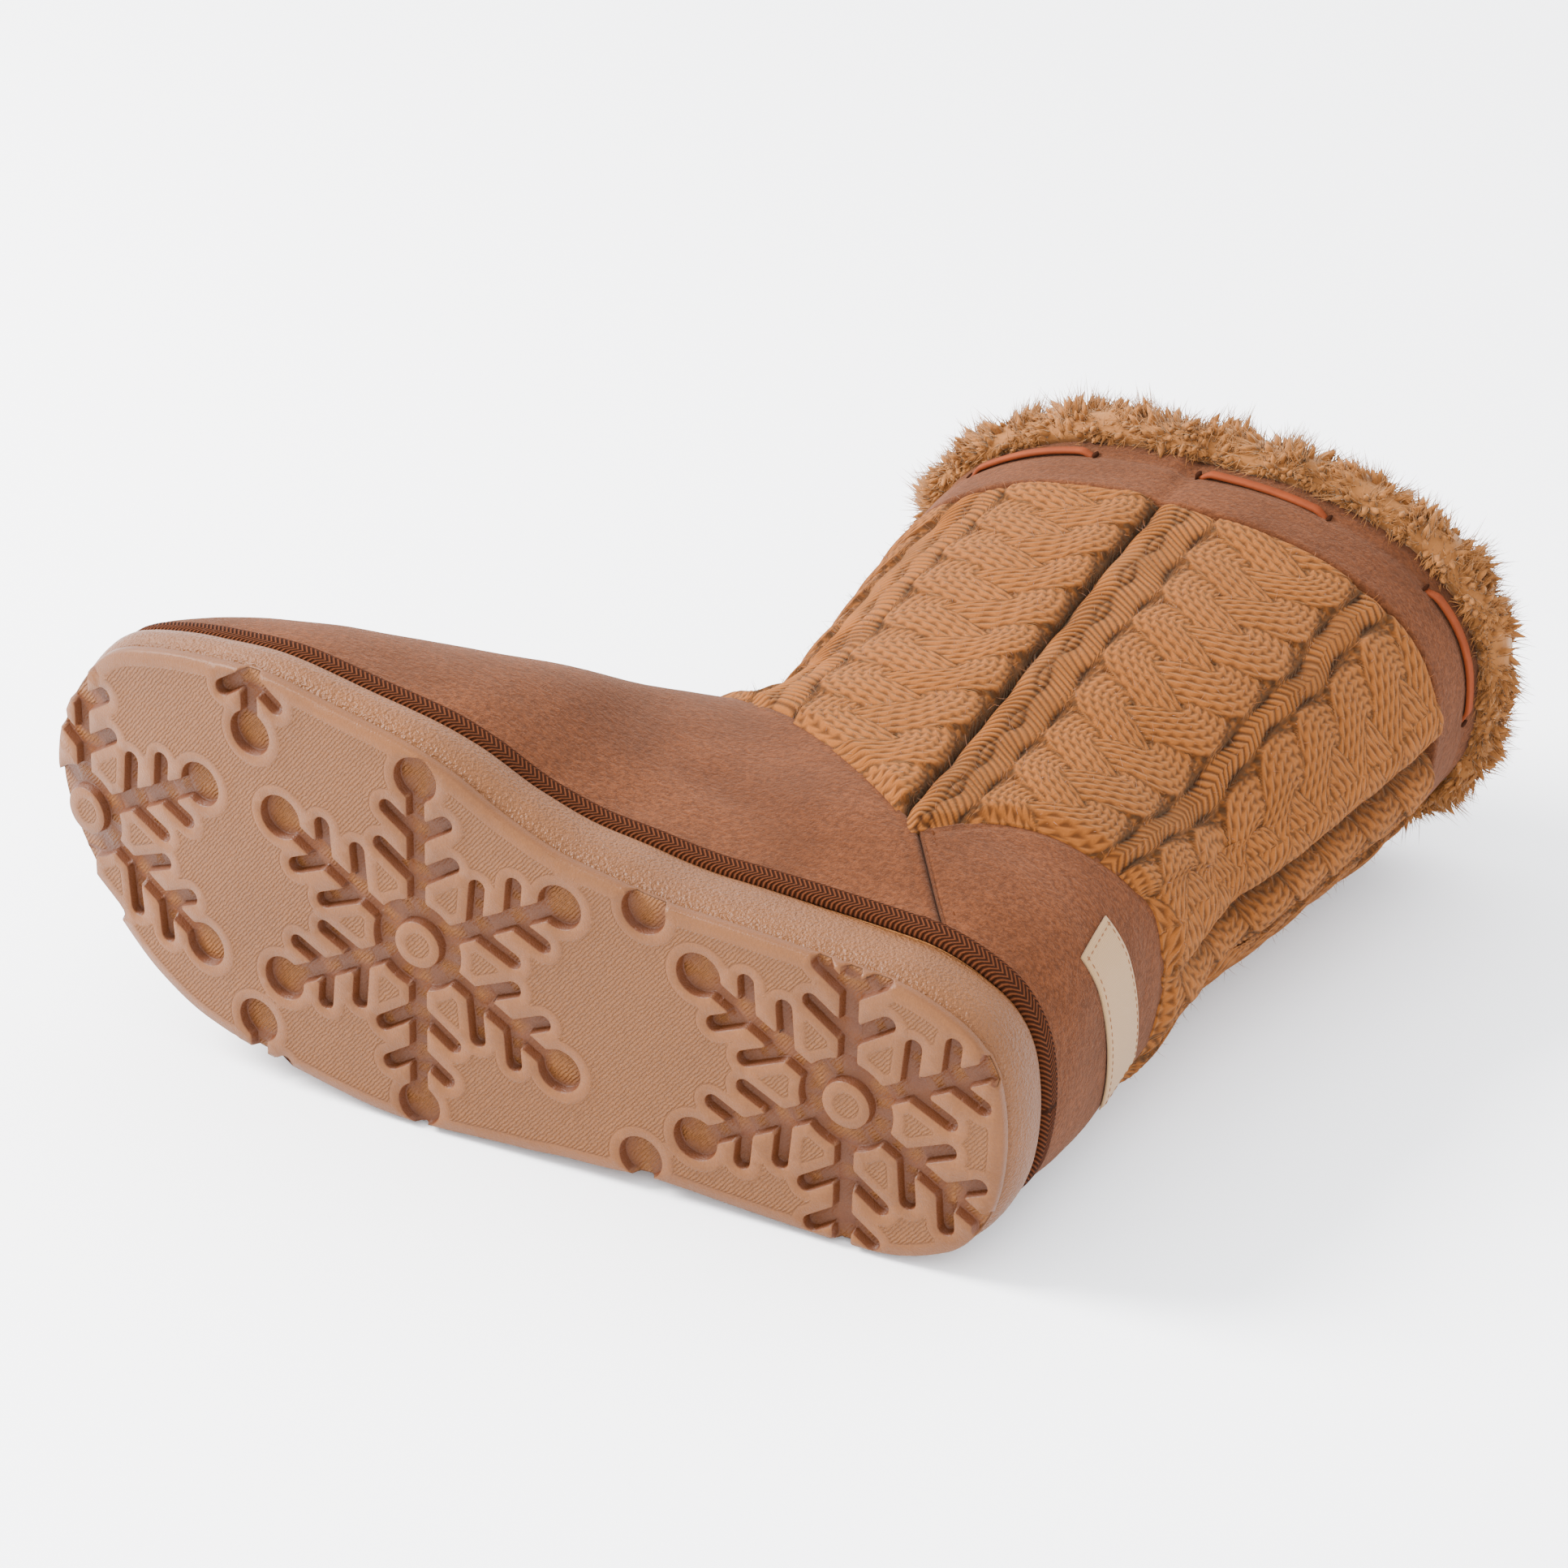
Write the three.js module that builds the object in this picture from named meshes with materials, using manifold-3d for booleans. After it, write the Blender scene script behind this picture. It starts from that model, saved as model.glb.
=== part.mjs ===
// Right sweater boot, lying on its outer side as it was put down, in millimetres with z up.
// Every piece is first shaped in the boot's own frame and then turned over with the whole boot:
// x runs to the outer side of the foot, y to the toe and z up the shaft,
// from the heel end of the tread.
import * as THREE from 'three';
import { mergeVertices } from 'three/addons/utils/BufferGeometryUtils.js';
import Module from 'manifold-3d';

const wasm = await Module();
wasm.setup();

// Driving sizes of the sole
const SOLE_LENGTH = 263.5;
const BALL_WIDTH = 104.4;
const HEEL_WIDTH = 74;
const TOE_SPRING = 13.6;
const HEEL_THICKNESS = 20.5;
const FORE_THICKNESS = 12.5;
const TREAD_CHAMFER = 0.8;
const WALL_BULGE = 1.6;

// Driving sizes of the snowflake tread
const FLAKE_REACH = 44.5;
const FLAKE_DEPTH = 2.2;
const TREAD_BAND = FLAKE_DEPTH + 2 * TREAD_CHAMFER;
const HUB_RADIUS = 6.2;
const HUB_GROOVE = 5.7;
const TRUNK_WIDTH = 4.6;
const BRANCH_WIDTH = 4;
const KNOB_RADIUS = 5.6;

// Driving sizes of the upper
const UPPER_HEIGHT = 229.5;
const INSTEP_HEIGHT = 113;
const SHAFT_LENGTH = 147.5;
const SHAFT_WIDTH = 88;
const FEATHER_INSET = 1.3;
const UPPER_WALL = 2.2;
const SUEDE_THICKNESS = 1.3;
const KNIT_THICKNESS = 2.6;
const TAPE_HEIGHT = 7;
const TAPE_THICKNESS = 2.2;
const INSOLE_THICKNESS = 4;
const GAP = 0.3;

// Driving sizes of the collar
const CUFF_HEIGHT = 30;
const CUFF_THICKNESS = 2.7;
const FUR_RISE = 13;
const FUR_SPREAD = 6;
const FUR_LINING = 7;
const FUR_LOCK = 7;
const THONG_WIDTH = 3;
const THONG_THICKNESS = 1;
const THONG_DASH = 36;
const THONG_DROP = 11;
const LABEL_WIDTH = 44;
const LABEL_HEIGHT = 17;
const LABEL_UP = 38;
const LABEL_THICKNESS = 0.6;
const CABLE_RELIEF = 1.4;

// Facets around the pieces, counted on one side of the boot
const SOLE_STEPS = 22;
const UPPER_STEPS = 18;

// Tread outline: along is a share of the sole's length, centre a share of the ball width
// towards the inner side, and half a share of the width that applies there
const OUTLINE = [
  { along: 0, centre: -0.062, half: 0 },
  { along: 0.0095, centre: -0.062, half: 0.473 },
  { along: 0.047, centre: -0.073, half: 0.811 },
  { along: 0.123, centre: -0.075, half: 0.978 },
  { along: 0.275, centre: -0.067, half: 1 },
  { along: 0.378, centre: -0.062, half: 0.973 },
  { along: 0.446, centre: -0.054, half: 0.925 },
  { along: 0.49, centre: -0.038, half: 0.921 },
  { along: 0.548, centre: -0.008, half: 0.95 },
  { along: 0.64, centre: 0.022, half: 0.993 },
  { along: 0.738, centre: 0.054, half: 1 },
  { along: 0.82, centre: 0.061, half: 0.945 },
  { along: 0.877, centre: 0.077, half: 0.849 },
  { along: 0.928, centre: 0.1, half: 0.69 },
  { along: 0.966, centre: 0.103, half: 0.468 },
  { along: 1, centre: 0.09, half: 0 },
];

// Thickness of the sole along its length, from the fore (0) to the heel value (1)
const THICKNESS = [
  { along: 0, share: 1 },
  { along: 0.36, share: 1 },
  { along: 0.53, share: 0.55 },
  { along: 0.65, share: 0.24 },
  { along: 0.8, share: 0.04 },
  { along: 1, share: 0 },
];

// Top line of the foot above the feather line, as shares of the instep height
const RIDGE = [
  { along: 0, up: 1.15 },
  { along: 0.4, up: 1.12 },
  { along: 0.49, up: 0.94 },
  { along: 0.55, up: 0.8 },
  { along: 0.63, up: 0.66 },
  { along: 0.72, up: 0.515 },
  { along: 0.82, up: 0.385 },
  { along: 0.9, up: 0.265 },
  { along: 0.95, up: 0.185 },
  { along: 0.985, up: 0.105 },
  { along: 1, up: 0 },
];

// Heel and shaft: up is a share of the upper's height, back and front are shares of the
// shaft's length, half is a share of half its width and square the exponent of its oval
const SHAFT = [
  { up: 0, back: 0.009, front: 0.68, half: 0.81, square: 2.1 },
  { up: 0.09, back: 0, front: 0.74, half: 0.86, square: 2.15 },
  { up: 0.26, back: 0.008, front: 0.81, half: 0.89, square: 2.2 },
  { up: 0.35, back: 0.012, front: 0.84, half: 0.91, square: 2.25 },
  { up: 0.42, back: 0.022, front: 0.85, half: 0.93, square: 2.3 },
  { up: 0.54, back: -0.008, front: 0.865, half: 0.96, square: 2.35 },
  { up: 0.64, back: -0.025, front: 0.88, half: 0.98, square: 2.4 },
  { up: 0.75, back: -0.045, front: 0.9, half: 0.99, square: 2.45 },
  { up: 0.88, back: -0.065, front: 0.925, half: 1, square: 2.5 },
  { up: 1, back: -0.07, front: 0.937, half: 1, square: 2.5 },
];

// Rings of the upper between the tape and the cuff, by their heights at the back and at
// the front, as shares of the height between the two
const RINGS = [
  { back: 0, front: 0 },
  { back: 0.03, front: 0.065 },
  { back: 0.06, front: 0.14 },
  { back: 0.1, front: 0.22 },
  { back: 0.15, front: 0.305 },
  { back: 0.2, front: 0.385 },
  { back: 0.26, front: 0.465 },
  { back: 0.34, front: 0.545 },
  { back: 0.44, front: 0.635 },
  { back: 0.56, front: 0.735 },
  { back: 0.75, front: 0.86 },
  { back: 1, front: 1 },
];

// Side seam of the vamp, and the top edges of vamp and counter, seen from the side:
// along is a share of the sole's length and up a share of the upper's height
const SEAM_FOOT = { along: 0.095, up: 0 };
const SEAM_TOP = { along: 0.191, up: 0.147 };
const VAMP_EDGE = [
  { along: 0.23, up: 0.185 },
  { along: 0.27, up: 0.219 },
  { along: 0.315, up: 0.257 },
  { along: 0.36, up: 0.294 },
  { along: 0.417, up: 0.336 },
  { along: 0.463, up: 0.372 },
  { along: 0.53, up: 0.43 },
];
const COUNTER_EDGE = [
  { along: 0.165, up: 0.18 },
  { along: 0.135, up: 0.215 },
  { along: 0.095, up: 0.238 },
  { along: 0.056, up: 0.252 },
  { along: 0.02, up: 0.272 },
  { along: 0, up: 0.292 },
  { along: -0.1, up: 0.3 },
];

function smooth(low, high, value) {
  const share = Math.min(1, Math.max(0, (value - low) / (high - low)));
  return share * share * (3 - 2 * share);
}

// Smooth curve through a table's column that doesn't overshoot its rows
function curve(rows, key, column, place = (value) => value) {
  const xs = rows.map((row) => place(row[key]));
  const ys = rows.map((row) => row[column]);
  const slopes = xs.slice(1).map((x, i) => (ys[i + 1] - ys[i]) / (x - xs[i]));
  const tangents = xs.map((x, i) => {
    const before = slopes[Math.max(0, i - 1)];
    const after = slopes[Math.min(slopes.length - 1, i)];
    return before * after <= 0 ? 0 : (2 * before * after) / (before + after);
  });
  return (value) => {
    const x = Math.min(xs[xs.length - 1], Math.max(xs[0], place(value)));
    let i = 0;
    while (i < xs.length - 2 && x > xs[i + 1]) i += 1;
    const span = xs[i + 1] - xs[i];
    const t = (x - xs[i]) / span;
    const bend = t * t * (3 - 2 * t);
    const lift = t * (1 - t) * span * (tangents[i] * (1 - t) - tangents[i + 1] * t);
    return ys[i] + (ys[i + 1] - ys[i]) * bend + lift;
  };
}

// Round ends: a share of the length is placed by the angle that it has on a half circle
function roundPlace(share) {
  return Math.acos(1 - 2 * Math.min(1, Math.max(0, share)));
}

const outlineCentre = curve(OUTLINE, 'along', 'centre', roundPlace);
const outlineHalf = curve(OUTLINE, 'along', 'half', roundPlace);
const thicknessShare = curve(THICKNESS, 'along', 'share');
const ridgeShare = curve(RIDGE, 'along', 'up', roundPlace);
const shaftBack = curve(SHAFT, 'up', 'back');
const shaftFront = curve(SHAFT, 'up', 'front');
const shaftHalfShare = curve(SHAFT, 'up', 'half');
const shaftSquare = curve(SHAFT, 'up', 'square');

// Sole: widths, toe spring and feather line along the foot
function halfWidth(y) {
  const share = y / SOLE_LENGTH;
  const width = THREE.MathUtils.lerp(HEEL_WIDTH, BALL_WIDTH, smooth(0.3, 0.6, share));
  return outlineHalf(share) * width / 2;
}

function centreLine(y) {
  return -outlineCentre(y / SOLE_LENGTH) * BALL_WIDTH;
}

const SPRING_START = 0.579;
function treadHeight(y) {
  const share = Math.max(0, (y / SOLE_LENGTH - SPRING_START) / (1 - SPRING_START));
  return TOE_SPRING * share * share;
}

function soleThickness(y) {
  return THREE.MathUtils.lerp(FORE_THICKNESS, HEEL_THICKNESS, thicknessShare(y / SOLE_LENGTH));
}

function featherHeight(y) {
  return treadHeight(y) + soleThickness(y);
}

// Upper: half widths of the foot's arch and of the shaft's oval, at a height above the feather line
const ARCH = 2.35;
const ARCH_ROOT = 1.9;
const SHAFT_LEAN = 0.043;

function backLine(height) {
  return shaftBack(height / UPPER_HEIGHT) * SHAFT_LENGTH;
}

function ridgeHeight(y) {
  const share = (y - FEATHER_INSET) / (SOLE_LENGTH - 2 * FEATHER_INSET);
  return ridgeShare(share) * INSTEP_HEIGHT;
}

// The foot's plan, drawn in by the feather inset and shifted so that it starts at the back line
function planHalf(y, height) {
  const shift = (backLine(height) - FEATHER_INSET) * (1 - smooth(0, 0.4, y / SOLE_LENGTH));
  const share = (y - shift - FEATHER_INSET) / (SOLE_LENGTH - 2 * FEATHER_INSET);
  if (share <= 0 || share >= 1) return 0;
  const full = halfWidth(share * SOLE_LENGTH);
  return full * (1 - FEATHER_INSET / (HEEL_WIDTH / 2));
}

function footHalf(y, height) {
  const share = height / ridgeHeight(y);
  return share >= 1 ? 0 : planHalf(y, height) * (1 - share ** ARCH) ** (1 / ARCH_ROOT);
}

function shaftHalf(y, height) {
  const up = height / UPPER_HEIGHT;
  const back = backLine(height);
  const front = shaftFront(up) * SHAFT_LENGTH;
  const reach = Math.abs(2 * y - back - front) / (front - back);
  if (reach >= 1) return 0;
  const square = shaftSquare(up);
  const oval = shaftHalfShare(up) * SHAFT_WIDTH / 2 * (1 - reach ** square) ** (1 / square);
  return THREE.MathUtils.lerp(planHalf(y, height), oval, smooth(0, 0.2, up));
}

// The two widths run into each other over a soft blend
const BLEND = 14;
function upperHalf(y, height) {
  const foot = footHalf(y, height);
  const shaft = shaftHalf(y, height);
  const blend = Math.min(BLEND, (foot + shaft) / 2) * smooth(0, 0.15, height / UPPER_HEIGHT);
  const near = Math.max(0, blend - Math.abs(foot - shaft));
  return Math.max(foot, shaft) + (blend > 0 ? near * near / (4 * blend) : 0);
}

function upperCentre(y, height) {
  const leg = BALL_WIDTH * THREE.MathUtils.lerp(0.062, SHAFT_LEAN, height / UPPER_HEIGHT);
  return THREE.MathUtils.lerp(leg, centreLine(y), smooth(0.34, 0.6, y / SOLE_LENGTH));
}

// Front of the upper at a height: the foot's top line, and above it the shaft
function frontLine(height) {
  const shaft = shaftFront(height / UPPER_HEIGHT) * SHAFT_LENGTH;
  let low = shaft;
  let high = SOLE_LENGTH - FEATHER_INSET;
  if (ridgeHeight(low) <= height) return shaft;
  for (let i = 0; i < 40; i += 1) {
    const middle = (low + high) / 2;
    if (ridgeHeight(middle) > height) low = middle;
    else high = middle;
  }
  return low;
}

// One point of the upper: turn goes once round the ring, from the back over the inner side
function upperPoint(ring, turn) {
  const along = (1 - Math.cos(turn * 2 * Math.PI)) / 2;
  const y = THREE.MathUtils.lerp(backLine(ring.back), frontLine(ring.front), along);
  const height = THREE.MathUtils.lerp(ring.back, ring.front, along);
  const side = turn < 0.5 ? -1 : 1;
  const x = upperCentre(y, height) + side * upperHalf(y, height);
  return new THREE.Vector3(x, y, featherHeight(y) + height);
}

// The same point moved outwards along the surface's normal
function offsetPoint(ring, turn, distance, level) {
  const nudge = 0.004;
  const rise = 1.5;
  const near = { back: Math.max(0, ring.back - rise), front: Math.max(0, ring.front - rise) };
  const far = {
    back: Math.min(UPPER_HEIGHT, ring.back + rise),
    front: Math.min(UPPER_HEIGHT, ring.front + rise),
  };
  const before = upperPoint(ring, (turn - nudge + 1) % 1);
  const after = upperPoint(ring, (turn + nudge) % 1);
  const around = after.sub(before);
  const up = upperPoint(far, turn).sub(upperPoint(near, turn));
  const normal = up.cross(around);
  const start = upperPoint(ring, turn);
  if (!level) return start.clone().addScaledVector(normal.normalize(), distance);
  const moved = start.clone().addScaledVector(normal.setZ(0).normalize(), distance);
  return moved.setZ(start.z + featherHeight(moved.y) - featherHeight(start.y));
}

// Turns at the facets of a ring
function ringTurns(steps) {
  return Array.from({ length: 2 * steps }, (value, i) => i / (2 * steps));
}

function levelRing(height) {
  return { back: height, front: height };
}

const panelLow = TAPE_HEIGHT + GAP;
const panelTop = UPPER_HEIGHT - CUFF_HEIGHT - GAP;
function ringAt(row) {
  return {
    back: THREE.MathUtils.lerp(panelLow, panelTop, row.back),
    front: THREE.MathUtils.lerp(panelLow, panelTop, row.front),
  };
}

// Closed skin over loops of equally many points; the last loop joins the first, or both are
// capped. Loops from the place of turnedFrom on are split along the other diagonal.
function loftGeometry(loops, closed, turnedFrom = loops.length) {
  const count = loops[0].length;
  const positions = loops.flat().flatMap((point) => [point.x, point.y, point.z]);
  const faces = [];
  const rows = closed ? loops.length : loops.length - 1;
  for (let row = 0; row < rows; row += 1) {
    const next = (row + 1) % loops.length;
    for (let i = 0; i < count; i += 1) {
      const j = (i + 1) % count;
      const [a, b, c, d] = [row * count + i, row * count + j, next * count + j, next * count + i];
      if (row < turnedFrom) faces.push(a, c, b, a, d, c);
      else faces.push(a, d, b, b, d, c);
    }
  }
  if (!closed) {
    faces.push(...capFaces(count, 0, false));
    faces.push(...capFaces(count, (loops.length - 1) * count, true));
  }
  const geometry = new THREE.BufferGeometry();
  geometry.setAttribute('position', new THREE.Float32BufferAttribute(positions, 3));
  geometry.setIndex(faces);
  return geometry;
}

// A cap of strips that run across, from each point to the one that faces it
function capFaces(count, start, turned) {
  const faces = [];
  const add = (a, b, c) => faces.push(...(turned ? [a, c, b] : [a, b, c]));
  for (let i = 0; i < count / 2; i += 1) {
    const left = start + i;
    const leftNext = start + i + 1;
    const right = start + (count - i) % count;
    const rightNext = start + count - i - 1;
    if (left !== right) add(left, leftNext, right);
    if (leftNext !== rightNext) add(leftNext, rightNext, right);
  }
  return faces;
}

function toSolid(geometry) {
  const bare = geometry.clone();
  bare.deleteAttribute('normal');
  bare.deleteAttribute('uv');
  const merged = mergeVertices(bare, 1e-4);
  return new wasm.Manifold(new wasm.Mesh({
    numProp: 3,
    vertProperties: new Float32Array(merged.attributes.position.array),
    triVerts: new Uint32Array(merged.index.array),
  }));
}

function toGeometry(solid) {
  const mesh = solid.getMesh();
  const geometry = new THREE.BufferGeometry();
  geometry.setAttribute('position', new THREE.BufferAttribute(mesh.vertProperties, 3));
  geometry.setIndex(new THREE.BufferAttribute(mesh.triVerts, 1));
  return geometry;
}

// One band of the upper between two distances from its surface
function shellGeometry(rings, inner, outer) {
  const turns = ringTurns(UPPER_STEPS);
  const last = rings.length - 1;
  const loop = (ring, i, distance) => turns.map(
    (turn) => offsetPoint(ring, turn, distance, i === 0 || i === last),
  );
  const outside = rings.map((ring, i) => loop(ring, i, outer));
  const inside = rings.map((ring, i) => loop(ring, i, inner));
  return loftGeometry([...outside, ...inside.reverse()], true, rings.length);
}

// A prism right through the boot from side to side, over a shape drawn in y and z
function sidePrism(points) {
  const shape = new THREE.Shape(points.map((point) => new THREE.Vector2(point.y, point.z)));
  const reach = BALL_WIDTH + SHAFT_WIDTH;
  const geometry = new THREE.ExtrudeGeometry(shape, { depth: 2 * reach, bevelEnabled: false });
  geometry.rotateY(Math.PI / 2);
  geometry.rotateX(Math.PI / 2);
  geometry.translate(-reach, 0, 0);
  return toSolid(geometry);
}

function sidePoint(row) {
  const y = row.along * SOLE_LENGTH;
  return { y, z: featherHeight(Math.max(0, y)) + row.up * UPPER_HEIGHT };
}

// Sole: tread edge, a shallow line above the tread band and the bulging side wall
function soleLoop(distance, heightOf) {
  return ringTurns(SOLE_STEPS).map((turn) => {
    const at = (value) => {
      const around = (value + 1) % 1;
      const y = (1 - Math.cos(around * 2 * Math.PI)) / 2 * SOLE_LENGTH;
      const side = around < 0.5 ? -1 : 1;
      return new THREE.Vector2(centreLine(y) + side * halfWidth(y), y);
    };
    const along = at(turn + 0.004).sub(at(turn - 0.004)).normalize();
    const point = at(turn);
    const y = point.y + along.x * distance;
    return new THREE.Vector3(point.x - along.y * distance, y, heightOf(y));
  });
}

function soleBody() {
  const tread = (rise) => (y) => treadHeight(y) + rise;
  const wall = (share) => (y) => treadHeight(y) + TREAD_BAND
    + (soleThickness(y) - TREAD_BAND) * share;
  const loops = [
    soleLoop(-TREAD_CHAMFER, tread(0)),
    soleLoop(0, tread(TREAD_CHAMFER)),
    soleLoop(0, tread(TREAD_BAND - TREAD_CHAMFER)),
    soleLoop(-TREAD_CHAMFER / 2, tread(TREAD_BAND)),
    soleLoop(WALL_BULGE * 0.6, wall(0.15)),
    soleLoop(WALL_BULGE, wall(0.5)),
    soleLoop(WALL_BULGE * 0.6, wall(0.88)),
    soleLoop(-WALL_BULGE * 0.2, wall(1)),
  ];
  return toSolid(loftGeometry(loops, false));
}

// Recesses of the tread, all as deep as the flakes, under the curve of the toe spring
function recessSlab() {
  const reach = BALL_WIDTH;
  const stations = ringTurns(SOLE_STEPS).slice(0, SOLE_STEPS + 1);
  const ys = stations.map((turn) => (1 - Math.cos(turn * 2 * Math.PI)) / 2 * SOLE_LENGTH);
  const edges = [-reach, ...ys.slice(1, -1), SOLE_LENGTH + reach];
  const loops = edges.map((y) => {
    const top = treadHeight(Math.min(y, SOLE_LENGTH)) + FLAKE_DEPTH;
    const corners = [[-reach, top], [-reach, -reach], [reach, -reach], [reach, top]];
    return corners.map(([x, z]) => new THREE.Vector3(x, y, z));
  });
  return toSolid(loftGeometry(loops, false));
}

// One flat recess shape, extruded up through the tread
function recess(points) {
  const shape = new THREE.Shape(points.map(([x, y]) => new THREE.Vector2(x, y)));
  const depth = TOE_SPRING + FLAKE_DEPTH + HEEL_THICKNESS;
  const geometry = new THREE.ExtrudeGeometry(shape, { depth, bevelEnabled: false });
  return geometry.translate(0, 0, -FLAKE_DEPTH);
}

function discPoints(x, y, radius, sides) {
  return Array.from({ length: sides }, (value, i) => {
    const angle = 2 * Math.PI * (i + 0.5) / sides;
    return [x + radius * Math.cos(angle), y + radius * Math.sin(angle)];
  });
}

// A tapering slot with a blunt tip, from a root on the trunk's line
function branchPoints(root, tip, side) {
  const run = Math.hypot(tip.x - root, tip.y);
  const dx = (tip.x - root) / run;
  const dy = side * tip.y / run;
  const spread = (along, across) => [
    root + dx * along - dy * across,
    dy * along + dx * across,
  ];
  const half = BRANCH_WIDTH / 2;
  const points = [
    spread(0, -half),
    spread(run - half * 0.7, -half * 0.8),
    spread(run, 0),
    spread(run - half * 0.7, half * 0.8),
    spread(0, half),
  ];
  return points;
}

// One arm of a snowflake along +x: trunk, two pairs of branches and a knob at its end
const BRANCHES = [
  { root: 0.4, tip: 0.574, aside: 0.24 },
  { root: 0.663, tip: 0.807, aside: 0.198 },
];
function armShapes() {
  const start = HUB_RADIUS + HUB_GROOVE / 2;
  const half = TRUNK_WIDTH / 2;
  const trunk = [[start, -half], [FLAKE_REACH, -half * 0.9], [FLAKE_REACH, half * 0.9], [start, half]];
  const shapes = [trunk, discPoints(FLAKE_REACH, 0, KNOB_RADIUS, 8)];
  for (const branch of BRANCHES) {
    const tip = { x: branch.tip * FLAKE_REACH, y: branch.aside * FLAKE_REACH };
    shapes.push(branchPoints(branch.root * FLAKE_REACH, tip, 1));
    shapes.push(branchPoints(branch.root * FLAKE_REACH, tip, -1));
  }
  return shapes;
}

function flakeRecess(x, y, arms, hasHub) {
  const solids = [];
  for (const arm of arms) {
    for (const shape of armShapes()) {
      const geometry = recess(shape);
      geometry.rotateZ(arm * Math.PI / 3);
      solids.push(toSolid(geometry.translate(x, y, 0)));
    }
  }
  const flake = wasm.Manifold.union(solids);
  if (!hasHub) return flake;
  const groove = toSolid(recess(discPoints(x, y, HUB_RADIUS + HUB_GROOVE, 12)));
  const hub = toSolid(recess(discPoints(x, y, HUB_RADIUS, 12)));
  return flake.add(groove).subtract(hub);
}

// Places of the flakes: along is a share of the sole's length, inward a share of the ball width
const FLAKES = [
  { along: 0.148, inward: -0.063, hub: true, arms: [0, 1, 2, 3, 4, 5] },
  { along: 0.579, inward: 0, hub: true, arms: [0, 1, 2, 3, 4, 5] },
  { along: 0.964, inward: 0.004, hub: true, arms: [0, 1, 2, 3, 4, 5] },
  { along: 0.757, inward: 0.83, hub: false, arms: [0] },
  { along: 0.757, inward: -0.783, hub: false, arms: [3] },
  { along: 0.349, inward: 0.694, hub: false, arms: [0] },
  { along: 0.349, inward: -0.8, hub: false, arms: [3] },
];
function outsole() {
  let body = soleBody();
  const slab = recessSlab();
  for (const flake of FLAKES) {
    const x = -flake.inward * BALL_WIDTH;
    const y = flake.along * SOLE_LENGTH;
    const cut = flakeRecess(x, y, flake.arms, flake.hub);
    body = body.subtract(cut.intersect(slab));
  }
  return toGeometry(body);
}

function upper() {
  const rings = [levelRing(0), ...RINGS.map(ringAt), levelRing(UPPER_HEIGHT)];
  return shellGeometry(rings, -UPPER_WALL, 0);
}

// Insole: a footbed inside the wall, lying on the sole
function insole() {
  const loop = (height) => ringTurns(UPPER_STEPS).map(
    (turn) => offsetPoint(levelRing(height), turn, -UPPER_WALL - 2 * GAP, true),
  );
  return loftGeometry([loop(0), loop(INSOLE_THICKNESS)], false);
}

// Binding tape: a rounded band along the feather line
const TAPE_SECTION = [
  { up: 0, out: 0.85 },
  { up: 0.45, out: 1 },
  { up: 0.85, out: 0.8 },
  { up: 1, out: 0.4 },
];
function bindingTape() {
  const outer = TAPE_SECTION.map((row) => ringTurns(UPPER_STEPS).map(
    (turn) => offsetPoint(
      levelRing(row.up * TAPE_HEIGHT),
      turn,
      GAP + row.out * TAPE_THICKNESS,
      true,
    ),
  ));
  const inner = [1, 0].map((up) => ringTurns(UPPER_STEPS).map(
    (turn) => offsetPoint(levelRing(up * TAPE_HEIGHT), turn, GAP, true),
  ));
  return loftGeometry([...outer, ...inner], true);
}

// Side view's outlines of the panels
function shifted(points, dy, dz) {
  return points.map((point) => ({ y: point.y + dy, z: point.z + dz }));
}

const seamFoot = sidePoint(SEAM_FOOT);
const seamTop = sidePoint(SEAM_TOP);
const vampEdge = VAMP_EDGE.map(sidePoint);
const counterEdge = COUNTER_EDGE.map(sidePoint);
const farToe = SOLE_LENGTH + SHAFT_LENGTH;
const farHeel = -SHAFT_LENGTH;
const farUp = 2 * UPPER_HEIGHT;

function vampPrism() {
  const low = { y: seamFoot.y - (seamTop.y - seamFoot.y), z: seamFoot.z - (seamTop.z - seamFoot.z) };
  const rim = vampEdge[vampEdge.length - 1];
  return sidePrism([low, seamTop, ...vampEdge, { y: farToe, z: rim.z }, { y: farToe, z: low.z }]);
}

function counterPrism() {
  const low = { y: seamFoot.y - (seamTop.y - seamFoot.y), z: seamFoot.z - (seamTop.z - seamFoot.z) };
  const rim = counterEdge[counterEdge.length - 1];
  const outline = [low, seamTop, ...counterEdge, { y: farHeel, z: rim.z }, { y: farHeel, z: low.z }];
  return sidePrism(shifted(outline, -GAP, -GAP / 2));
}

function knitPrism() {
  const rim = counterEdge[counterEdge.length - 1];
  const back = [...counterEdge].reverse();
  const outline = [{ y: farHeel, z: rim.z }, ...back, seamTop, ...vampEdge];
  const raised = shifted(outline, GAP / 2, GAP);
  const top = vampEdge[vampEdge.length - 1];
  const cap = [
    { y: farToe, z: top.z + GAP },
    { y: farToe, z: farUp },
    { y: farHeel, z: farUp },
  ];
  return sidePrism([...raised, ...cap]);
}

function vamp() {
  const suede = shellGeometry(RINGS.map(ringAt), GAP, GAP + SUEDE_THICKNESS);
  return toGeometry(toSolid(suede).intersect(vampPrism()));
}

function counter() {
  const suede = shellGeometry(RINGS.map(ringAt), GAP, GAP + SUEDE_THICKNESS);
  return toGeometry(toSolid(suede).intersect(counterPrism()));
}

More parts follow.
